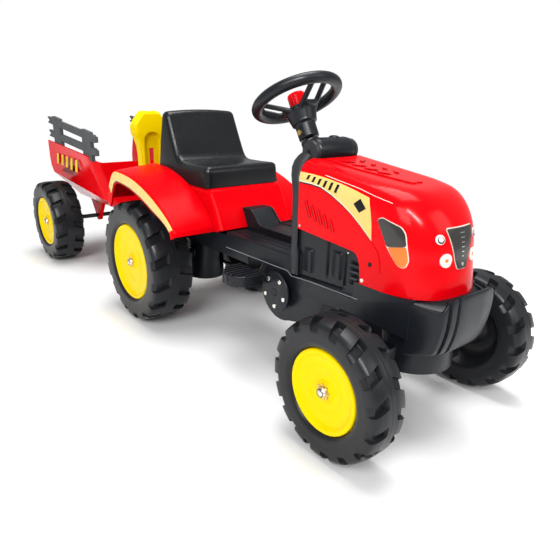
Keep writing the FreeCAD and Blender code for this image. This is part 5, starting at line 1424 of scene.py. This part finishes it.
def make_horn_button():
    """A domed button with ribs round its side."""
    line = [(0, 9.6), (12, 9.4), (14.2, 8.4), (15.2, 6.6), (15.4, 3), (15.4, -22), (0, -22.5)]
    pieces = [upright_lathe("button", line, RED, 48)]
    for turn in turns(BUTTON_RIBS):
        rib = tube("rib", (15, 0, -16), (15, 0, 7), 0.9, RED, 8)
        rib.data.transform(Matrix.Rotation(turn, 4, "Z"))
        pieces.append(rib)
    whole = unite("horn_button_form", pieces)
    smooth(whole, 40)
    tilt_onto_column(whole)
    settle(whole, "horn", "red_plastic", "horn_button")


# Console, engine side, bumper and footboard

def console_arm():
    """The right arm of the console with its end disc, the screw in it with its hole painted as a dark disc
    of shade inside a washer, and the strip's foot.
    """
    spots = [(396, -36, 390), (394.5, -43, 388.5), (393.5, -51, 384.5), (394, -60, 378)]
    spots += [(397, -68, 369), (403, -75, 357), (407.5, -78, 344)]
    spots += [(409, -CONSOLE_ARM_OUT, z) for z in (325, 300, 260, 232, 196)]
    wide = [14, 14.5, 14, 13, 12, 10.4, 8.8, 7.8, 7.4, 7.4, 7.4, 7.4]
    thick = [8, 7, 5.6, 5, 4.6, 4.2, 3.8, 3.4, 3.2, 3.2, 3.2, 3.2]
    arm = swept("arm", spots, wide, thick, Vector((1, 0, 0)), CONSOLE, 28, 60)
    line = [(0, -48), (15.4, -48), (17.6, -47.3), (18.6, -45.4), (18.6, -40), (0, -40)]
    disc = shift(lathe("disc", line, CONSOLE, 64), at(CONSOLE_X, 0, 394))
    smooth(disc, 40)
    foot = [(398, 195), (421, 195), (421, 234), (414, 246), (405, 239), (398, 237)]
    base = prism("base", foot, 74, 80, side_view, BLACK, 1.4)
    # A dark disc of painted shade for the screw hole, inside a washer
    screw_place = at(402.5, 0, 393)
    hole_shade = shift(lathe("hole_shade", [(0, -48.5), (4.6, -48.5), (4.8, -47)], INK_AND_SHADE, 24), screw_place)
    line = [(4.8, -47), (5, -48.7), (5.6, -49), (6.4, -48.7), (7, -47)]
    washer = shift(lathe("washer", line, CONSOLE, 32), screw_place)
    return [arm, disc, base, hole_shade, washer]


def make_console():
    """The barrel across the hood's rear edge, its arms, the board behind and the steering collar."""
    line = [(0, 47.5), (9, 46.6), (15, 43.5), (19.4, 37), (21, 29), (21, -34), (20.2, -37.6)]
    line += [(18.4, -40.4), (16.6, -41.6), (0, -42)]
    barrel = shift(lathe("barrel", line, BLACK, 64), at(CONSOLE_X, 0, 395))
    smooth(barrel, 40)
    arms = console_arm()
    arms += [flip_side(piece) for piece in arms]
    board = [(-76, 200), (76, 200), (76, 352), (48, 380), (-48, 380), (-76, 352)]
    plate = prism("board", rounded(board, 8), 408, 412, end_view, BLACK, 1)
    bump = upright_lathe("bump", [(0, 5), (6, 4.2), (9, 2), (10, -3)], BLACK, 32)
    shift(bump, at(CONSOLE_X, 6, 414))
    smooth(bump, 60)
    collar = tube("collar", (352, 0, 405.4), (405, 0, 313.7), 16.6, BLACK, 32)
    shift(collar, at(0, 0, 0))
    smooth(collar, 40)
    whole = unite("dash_console_form", [barrel, plate, bump, collar] + arms)
    settle(whole, "chassis", "black_plastic", "dash_console")


def in_box(x, z, low_x, high_x, low_z, high_z):
    """One inside a box of the side view, falling to nought over a soft edge."""
    share = 1.0
    for value, low, high in ((x, low_x, high_x), (z, low_z, high_z)):
        share *= soft_step(value, low - ENGINE_SOFT, low + ENGINE_SOFT)
        share *= soft_step(value, high + ENGINE_SOFT, high - ENGINE_SOFT)
    return share


def engine_depth(x, z):
    """How deep the engine's side lies below its face: pockets with a slanted floor, lines and louvres."""
    depth = 0.0
    for deep, rear_x, front_x, low_z, high_z in ENGINE_LINES:
        depth += deep * in_box(x, z, rear_x, front_x, low_z, high_z)
    for rear_x, front_x, low_z, high_z, start_x, end_x in ENGINE_POCKETS:
        depth -= ENGINE_SLANT * in_box(x, z, rear_x, front_x, low_z, high_z) * soft_step(x, start_x, end_x)
    low = ENGINE_SEAM_Z + (x - ENGINE_SEAM_X) * ENGINE_SEAM_SLOPE
    depth += ENGINE_GROOVE * in_box(x, z, 406, 520, low, low + 3)
    for middle in ENGINE_LOUVRES:
        depth += ENGINE_GROOVE * in_box(x, z, 534, 550, middle - 1.6, middle + 1.6)
        depth -= ENGINE_LIP * in_box(x, z, 533, 551, middle - 4.2, middle - 2.4)
    return depth


def make_engine_side():
    """Engine panels with their pockets, lines and louvres, and two pale strips of painted highlight on the
    louvre lips.
    """
    rows = []
    for row in range(84):
        z = ENGINE_LOW_Z + row * ENGINE_STEP
        spots = []
        for column in range(145):
            x = ENGINE_REAR_X + column * ENGINE_STEP
            spots.append(side_view(x, z, ENGINE_FACE - engine_depth(x, z)))
        rows.append(spots)
    points, faces = grid(rows)
    pieces = [walled("panel", points, faces, BLACK, at(480, 0, 230), ENGINE_WALL, 40)]
    # Two pale grey strips of painted highlight along the louvre lips
    for low_z in (233.4, 223.2):
        pieces.append(prism("lip", box(535, low_z, 550, low_z + 1.3), 74, 76.6, side_view, GREY, 0.3, 2))
    pair(pieces, "engine_panel_forms", "chassis", "black_plastic", "engine_panels")


def bumper_drop(z):
    """How far the bumper's front lies behind its upper part at a height."""
    return BUMPER_TUCK * (max(BUMPER_KNEE_Z - z, 0) / (BUMPER_KNEE_Z - BUMPER_LOW_Z)) ** 2.2


def bumper_top(y):
    """Height of the bumper's upper edge, which rises towards the middle."""
    return BUMPER_TOP_Z + BUMPER_RISE * max(1.0 - (abs(y) / BUMPER_RISE_HALF) ** 6, 0)


def make_bumper():
    """An upright bumper that curves in at the bottom, with stepped bands on both sides of its middle."""
    path = [(BUMPER_REAR_X, -78), (660, -75), (676, -68.5), (690.6, -61.6), (691.8, -60.6), (692.8, -58)]
    path += [(693.4, -54), (693.4, -52.6), (691.4, -51.8), (691.4, -50.2), (696.4, -49.2), (697.2, -46)]
    path += [(697.6, -40), (697.6, -38.6), (695.6, -37.8), (695.6, -36.2), (699.8, -35), (700.6, -31)]
    path += [(701, -15), (701, 0)]
    path += [(x, -y) for x, y in reversed(path[:-1])]
    spots = []
    for x, y in path:
        ahead = min((x - BUMPER_REAR_X) / BUMPER_BEND, 1)
        low = BUMPER_LOW_Z - BUMPER_END_DROP * (1.0 - ahead)
        top = bumper_top(y) + BUMPER_END_RISE * (1.0 - ahead)
        spots.append((x, y, ahead, low, top))
    rows = []
    for share in (0, 0.015, 0.06, 0.14, 0.25, 0.4, 0.55, 0.7, 0.85, 0.95, 0.985, 1):
        pull = BUMPER_TOP_ROUND * soft_step(share, 0.97, 1) + BUMPER_LOW_ROUND * soft_step(share, 0.03, 0)
        row = []
        for x, y, ahead, low, top in spots:
            z = low + (top - low) * share
            row.append(at(x - (bumper_drop(z) + pull) * ahead, y * (1.0 - 0.006 * pull), z))
        rows.append(row)
    for inset, depth in ((5, 0), (5.6, 8)):
        row = []
        for x, y, ahead, low, top in spots:
            row.append(at(x - inset * ahead, y * (1.0 - 0.012 * inset), top - depth * ahead))
        rows.append(row)
    piece = closed("front_bumper_form", rows, BLACK, (0, 1))
    smooth(piece, 26)
    settle(piece, "chassis", "black_plastic", "front_bumper")


def make_footboard():
    """Long slats of the footboard, a painted highlight line along each flank and a dark plate of painted
    shade over each front wheel.
    """
    pieces = []
    for inner, outer in ((26.6, 44), (45.8, 59.4), (61.2, 77.8)):
        slat = box(SLAT_REAR_X, -outer, SLAT_FRONT_X, -inner)
        pieces.append(prism("slat", slat, SLAT_LOW_Z, SLAT_TOP_Z, top_view, BLACK, 1.3, 2))
    # A pale bead of painted highlight along the seam on each flank
    seam = [(206, 194), (300, 195), (394, 196), (403, 189.5), (451, 193), (556, 195)]
    pieces.append(bead("seam", [(x, -FLANK_HALF, z) for x, z in seam], 0.8, SEAM_HIGHLIGHT))
    # A dark plate of painted shade over each front wheel, where the wheel arch lies in shade
    arch_shade = [(472, 140), (476, 151), (483, 163), (498, 165.5), (519, 165)]
    arch_shade += [(521, 168.5), (606, 168.5), (608, 150), (526, 150), (526, 140)]
    pieces.append(prism("arch_shade", arch_shade, FLANK_HALF - 0.6, FLANK_HALF, side_view, INK_AND_SHADE, 0.2, 1))
    pair(pieces, "footboard_slats", "chassis", "black_plastic")


def make_piping():
    """A bead along each edge of the hump and the tunnel."""
    line = [(207, 264), (214, 263.5), (221, 260), (228, 254.5), (233, 249), (238, 243)]
    line += [(246, 238), (259, 236), (330, 236), (402, 236)]
    edge = bead("bead", [(x, -TUNNEL_HALF, z) for x, z in line], 1.3, BLACK)
    pair([edge], "tunnel_beads", "chassis", "black_plastic")


def make_pedals():
    """Pedal blocks with a round outer end and ridges above and below."""
    for side, node, body in ((1, "pedal_left", "left_pedal"), (-1, "pedal_right", "right_pedal")):
        low, high = solid_box(node)
        middle_x = (low.x + high.x) / 2
        half = (high.x - low.x) / 2
        inner = min(abs(low.y), abs(high.y))
        outer = max(abs(low.y), abs(high.y))
        turn = min(half, (outer - inner) * 0.8)
        outline = [(middle_x - half, inner), (middle_x + half, inner)]
        for step in range(13):
            angle = math.pi * step / 12
            outline.append((middle_x + half * math.cos(angle), outer - turn + turn * math.sin(angle)))
        outline = [(u, v * side) for u, v in outline]
        pieces = [prism("block", outline, low.z + 1, high.z - 3, top_view, BLACK, 1.6)]
        for index in range(PEDAL_RIDGES):
            x = middle_x - half + (index + 0.5) * half * 2 / PEDAL_RIDGES
            reach = outer - turn + turn * math.sqrt(max(1 - ((x - middle_x) / half) ** 2, 0)) - 2.0
            first, last = sorted((side * (inner + 2), side * reach))
            for start, end in ((high.z - PEDAL_RIDGE_DEPTH, high.z), (low.z, low.z + PEDAL_RIDGE_DEPTH)):
                ridge = box(x - PEDAL_RIDGE_HALF, first, x + PEDAL_RIDGE_HALF, last)
                pieces.append(prism("ridge", ridge, start, end, top_view, BLACK, 1, 2))
        whole = unite(node + "_form", pieces)
        settle(whole, body, "black_plastic", node)


# Trailer and shovel

def tub_top(x):
    """Height of the trailer tub's side edge."""
    return TUB_TOP_Z - (x - TUB_REAR_X) * TUB_FALL


def on_tub_side(x, z, lift):
    """A point on the right side of the trailer tub, just proud of it."""
    return at(x, -TUB_HALF - lift + (TUB_TOP_Z - z) * TUB_LEAN, z)


def make_fences():
    """Two posts and two rails with notched ends on each side of the trailer, along the tub's edge."""
    low, high = solid_box("trailer_fence_right")
    inner = min(abs(low.y), abs(high.y))
    outer = max(abs(low.y), abs(high.y))
    pieces = []
    for x, top in ((-585, 401), (-358, 380)):
        rear = x - POST_HALF
        front = x + POST_HALF
        outline = [(rear, tub_top(rear) - 10), (front, tub_top(front) - 10), (front, top - 2.6)]
        outline += [(front - 5, top - 2.2), (rear + 5, top + 2.2), (rear, top + 2.6)]
        pieces.append(prism("post", outline, inner, outer, side_view, GREY, 1.2))
    rear = RAIL_REAR_X
    front = RAIL_FRONT_X
    neck = front - RAIL_TONGUE
    for base, fall, tall in ((338, 0.072, 19), (374.5, 0.086, 18.5)):
        outline = [(rear, 0), (neck, 0), (neck, tall * 0.12), (front, tall * 0.12)]
        outline += [(front, tall * 0.88), (neck, tall * 0.88), (neck, tall), (rear, tall)]
        outline += [(rear + 1, tall * 0.75), (rear + 11, tall * 0.62)]
        outline += [(rear + 11, tall * 0.38), (rear + 1, tall * 0.25)]
        outline = [(u, v + base - (u - RAIL_BASE_X) * fall) for u, v in outline]
        pieces.append(prism("rail", outline, inner + 0.8, outer - 0.5, side_view, GREY, 0.8, 2))
    right = unite("trailer_fence_right_form", pieces)
    left = flip_side(right)
    left.name = "trailer_fence_left_form"
    settle(right, "trailer", "grey_plastic", "trailer_fence_right")
    settle(left, "trailer", "grey_plastic", "trailer_fence_left")


def shovel_half(z):
    """Half the width of the shovel at a height."""
    places = [(SHOVEL_LOW_Z, 26), (258, 28), (335, 28.5), (357, 31), (372, 36), (386, 42.5)]
    places += [(398, 43.5), (406, 42), (416, 36), (427, 27), (433, 22), (SHOVEL_TOP_Z, 17)]
    for (low, first), (high, second) in zip(places, places[1:]):
        if z <= high:
            return first + (second - first) * (z - low) / (high - low)
    return places[-1][1]


def shovel_front(y, z, half):
    """How far the shovel's front lies back: its round edges and its arched recess."""
    curve = SHOVEL_SIDE_ROUND * (1.0 - soft_step(half - abs(y), 0, 6))
    curve += SHOVEL_TOP_ROUND * (1.0 - soft_step(SHOVEL_TOP_Z - z, 0, 7))
    arch_gap = math.hypot(y, max(z - SHOVEL_ARCH_Z, 0)) - SHOVEL_ARCH_R
    return curve + SHOVEL_ARCH_DEPTH * (1.0 - soft_step(arch_gap, -2.5, 1)) * soft_step(z, 262, 266)


def in_slot(spot):
    """Whether a place in metres lies in the slot of the shovel's stem."""
    x, y, z = spot / MM
    ahead = x - REAR_AXLE_X > SHOVEL_FRONT_X - SLOT_DEPTH
    return abs(y - SHOVEL_Y) < SLOT_HALF and SLOT_LOW_Z < z < SLOT_TOP_Z and ahead


def make_shovel():
    """A moulded shovel with round shoulders, an arched recess and a slot in its stem."""
    backs = (SHOVEL_DEPTH, SHOVEL_DEPTH * 0.5)
    rows = []
    for level in range(93):
        z = SHOVEL_LOW_Z + level * 2.0
        half = shovel_half(z)
        row = [at(SHOVEL_FRONT_X - back, SHOVEL_Y - half, z) for back in backs]
        for step in range(45):
            y = (-1.0 + step / 22) * (half - 0.2)
            row.append(at(SHOVEL_FRONT_X - shovel_front(y, z, half), SHOVEL_Y + y, z))
        row += [at(SHOVEL_FRONT_X - back, SHOVEL_Y + half, z) for back in reversed(backs)]
        rows.append(row)
    points, faces = grid(rows)
    kept = []
    for face in faces:
        middle = sum((points[index] for index in face), Vector()) / len(face)
        if not in_slot(middle):
            kept.append(face)
    inside = at(SHOVEL_FRONT_X - 18, SHOVEL_Y, 340)
    shell = walled("shovel_form", points, kept, YELLOW, inside, SHOVEL_WALL, 45)
    settle(shell, "tool", "yellow_plastic", "shovel")


def tub_row(x, share, corner, rear):
    """One cross section of the tub, from edge to edge, drawn in round the front corners."""
    tuck = TUB_CORNER_R * (1.0 - math.cos(corner))
    top = TUB_REAR_TOP.lerp(TUB_FRONT_TOP, share)
    waist = TUB_REAR_WAIST.lerp(TUB_FRONT_WAIST, share)
    height = top.y + (TUB_END_Z - top.y) * math.sin(corner) ** 2
    half = [(top.x - tuck, height)]
    for step in range(1, 5):
        middle = Vector((top.x, height)).lerp(waist, step / 5)
        half.append((middle.x - tuck, middle.y))
    bilge = waist.lerp(TUB_FLOOR, 0.5)
    half += [(waist.x - tuck, waist.y), (bilge.x - tuck, bilge.y), (TUB_FLOOR.x - tuck * 0.8, TUB_FLOOR.y)]
    right = []
    left = []
    for (y, z), back in zip(half, TUB_REAR_BULGE):
        right.append(at(x - back * rear, -y, z))
        left.append(at(x - back * rear, y, z))
    return right + left[::-1]


def make_tub():
    """An open tub with leaning sides, round front corners and a low rear wall."""
    rows = []
    length = TUB_FRONT_X - TUB_REAR_X
    turn_x = TUB_FRONT_X - TUB_CORNER_R
    for step in range(13):
        x = TUB_REAR_X + (turn_x - TUB_REAR_X) * step / 12
        rows.append(tub_row(x, (x - TUB_REAR_X) / length, 0, max(1.0 - step / 2, 0)))
    for step in range(1, 11):
        corner = math.pi / 2 * step / 10
        x = turn_x + TUB_CORNER_R * math.sin(corner)
        rows.append(tub_row(x, (x - TUB_REAR_X) / length, corner, 0))
    points, faces = grid(rows)
    count = len(rows[0])
    last = len(points) - count
    faces.append(tuple(range(last, last + count)))
    faces.append(tuple(range(5, count - 5)))
    tub = walled("trailer_tub_form", points, faces, RED, at(-490, 0, 400), TUB_WALL, 30)
    settle(tub, "trailer", "red_plastic", "trailer_tub")


def make_trailer_marks():
    """Plain slanted marks on each side of the trailer, and a dark red film of painted shade where the
    wheel-arch recess lies.
    """
    pieces = []
    for index in range(5):
        x = -606.0 + index * 37.0
        z = 271.0 - index * 2.0
        tall = 30.0 + index
        shape = [(x, z), (x + 15, z), (x + 30, z + tall), (x + 15, z + tall)]
        pieces.append(film("mark", shape, on_tub_side, YELLOW, 0.5))
    pair(pieces, "trailer_marks", "trailer", "yellow_plastic")
    # A dark red film of painted shade where the wheel-arch recess lies
    arch_shade = [(-576, 252), (-545, 265), (-513, 271), (-484, 269), (-472, 260), (-480, 250)]
    arch_shade.append((-512, 250))
    pair([film("arch_shade", arch_shade, on_tub_side, SHADE_RED, 0.3)], "trailer_arch_shades", "trailer", "red_plastic")


# Pieces that keep the form of their solids

def dress_solids():
    """Rounded edges for the solids that keep their form."""
    softened("lower_chassis", BLACK, 2.5, "chassis", "black_plastic")
    softened("upper_chassis", BLACK, 2, "chassis", "black_plastic")
    softened("rear_housing", BLACK, 3, "chassis", "black_plastic")
    softened("front_axle_beam", BLACK, 2, "chassis", "black_plastic")
    softened("crank_discs", BLACK, 1.5, "crank", "black_plastic")
    softened("axle_brackets", BODY_RED, 1.5, "trailer", "red_plastic")
    softened("trailer_drawbar", BLACK, 2, "trailer", "black_plastic")
    softened("crank_rivets", ZINC, 0.8, "crank", "zinc_steel")
    softened("hitch_pin", ZINC, 0.8, "chassis", "zinc_steel")


def paint_solids():
    """Finishes for the solids that show as they are."""
    finishes = {"black_plastic": BLACK, "black_steel": STEEL, "zinc_steel": ZINC, "brass_screw": BRASS}
    finishes.update({"red_plastic": RED, "yellow_plastic": YELLOW, "tyre_plastic": TYRE})
    finishes.update({"grey_plastic": GREY, "dark_lens": SMOKE, "orange_lens": AMBER, "white_lamp": WHITE})
    finishes.update({"silver_lamp": SILVER, "seat_plastic": SEAT})
    slots = {}
    for entry in frame["record"]["subparts"]:
        slots[entry["node"]] = entry["material_slot"]
    for node, solid in frame["nodes"].items():
        solid.data.materials.clear()
        solid.data.materials.append(finishes[slots[node]])


# Stage

def make_floor():
    """A white floor that keeps the shadow near the object and fades to plain white."""
    mesh = bpy.data.meshes.new("floor")
    corners = [(u, v, 0) for u, v in box(-FLOOR_REACH, -FLOOR_REACH, FLOOR_REACH, FLOOR_REACH)]
    mesh.from_pydata(corners, [], [(0, 1, 2, 3)])
    floor = add_object("floor", mesh)
    paper = bpy.data.materials.new("white_floor")
    paper.use_nodes = True
    tree = paper.node_tree
    shader = tree.nodes["Principled BSDF"]
    shader.inputs["Base Color"].default_value = (0.93, 0.93, 0.93, 1)
    shader.inputs["Roughness"].default_value = 0.9
    shader.inputs["Specular IOR Level"].default_value = 0.1
    place = tree.nodes.new("ShaderNodeTexCoord").outputs["Object"]
    far = tree.nodes.new("ShaderNodeVectorMath")
    far.operation = "LENGTH"
    tree.links.new(place, far.inputs[0])
    fade = add_range(tree, far.outputs["Value"], *FLOOR_FADE, 0, 1)
    path = tree.nodes.new("ShaderNodeLightPath")
    seen = add_math(tree, "MULTIPLY", fade, path.outputs["Is Camera Ray"])
    glow = tree.nodes.new("ShaderNodeEmission")
    blend = tree.nodes.new("ShaderNodeMixShader")
    tree.links.new(seen, blend.inputs["Fac"])
    tree.links.new(shader.outputs["BSDF"], blend.inputs[1])
    tree.links.new(glow.outputs["Emission"], blend.inputs[2])
    tree.links.new(blend.outputs["Shader"], tree.nodes["Material Output"].inputs["Surface"])
    mesh.materials.append(paper)


def add_lamp(name, place, target, size, power):
    light = bpy.data.lights.new(name, "AREA")
    light.shape = "RECTANGLE"
    light.size = size[0]
    light.size_y = size[1]
    light.energy = power
    lamp = add_object(name, light)
    lamp.location = place
    lamp.rotation_euler = (Vector(target) - Vector(place)).to_track_quat("-Z", "Y").to_euler()
    return lamp


def add_glint(name, place, target, along, size, power):
    """A narrow lamp that shows only as a bright line in glossy skins."""
    lamp = add_lamp(name, place, target, size, power)
    back = (Vector(place) - Vector(target)).normalized()
    side = (Vector(along) - back * Vector(along).dot(back)).normalized()
    lamp.rotation_euler = Matrix((side, back.cross(side), back)).transposed().to_euler()
    lamp.visible_diffuse = False


def make_stage():
    make_floor()
    world = bpy.data.worlds.new("studio")
    bpy.context.scene.world = world
    world.use_nodes = True
    tree = world.node_tree
    back = tree.nodes["Background"]
    back.inputs["Color"].default_value = (1, 1, 1, 1)
    path = tree.nodes.new("ShaderNodeLightPath")
    strength = add_range(tree, path.outputs["Is Camera Ray"], 0, 1, WORLD_GLOW, 1)
    tree.links.new(strength, back.inputs["Strength"])
    add_lamp("key", (1.5, -2.1, 1.9), (0, 0, 0.25), (1.4, 1.4), 48)
    add_lamp("top", (0.1, 0.3, 2.9), (0, 0, 0.2), (2, 1.6), 78)
    add_lamp("nose", (2.4, 0.9, 1.5), (0.4, 0, 0.25), (1.2, 1.2), 14)
    add_glint("glint", (1.99, -0.99, 1.79), (0.61, -0.06, 0.33), (0.39, 0.16, -0.25), (1.1, 0.085), 62)


def make_camera():
    """A camera at the photograph's place, worked out from the wheels."""
    level = math.cos(CAMERA_ELEVATION)
    back = Vector((math.sin(CAMERA_AZIMUTH) * level, -math.cos(CAMERA_AZIMUTH) * level,
                   math.sin(CAMERA_ELEVATION)))
    right = (-back).cross(Vector((0, 0, 1))).normalized()
    up = right.cross(-back)
    turned_right = right * math.cos(CAMERA_ROLL) + up * math.sin(CAMERA_ROLL)
    turned_up = up * math.cos(CAMERA_ROLL) - right * math.sin(CAMERA_ROLL)
    data = bpy.data.cameras.new("camera")
    data.sensor_fit = "HORIZONTAL"
    data.sensor_width = SENSOR_WIDTH
    data.lens = SENSOR_WIDTH * FOCAL_PIXELS / PHOTO_PIXELS
    camera = add_object("camera", data)
    pose = Matrix((turned_right, turned_up, back)).transposed().to_4x4()
    pose.translation = at(*CAMERA_PLACE)
    camera.matrix_world = pose
    bpy.context.scene.camera = camera


bpy.context.scene.view_settings.view_transform = "Standard"
make_camera()
make_stage()
paint_solids()
make_wheels()
make_hood()
make_hood_stripe()
make_side_lamps()
make_hood_details()
make_front_lamps()
make_grille()
make_rear_body()
make_fender_stripe()
make_seat()
make_steering_wheel()
make_horn_button()
make_console()
make_engine_side()
make_screws()
make_bumper()
make_footboard()
make_piping()
make_pedals()
make_fences()
make_shovel()
make_tub()
make_trailer_marks()
dress_solids()
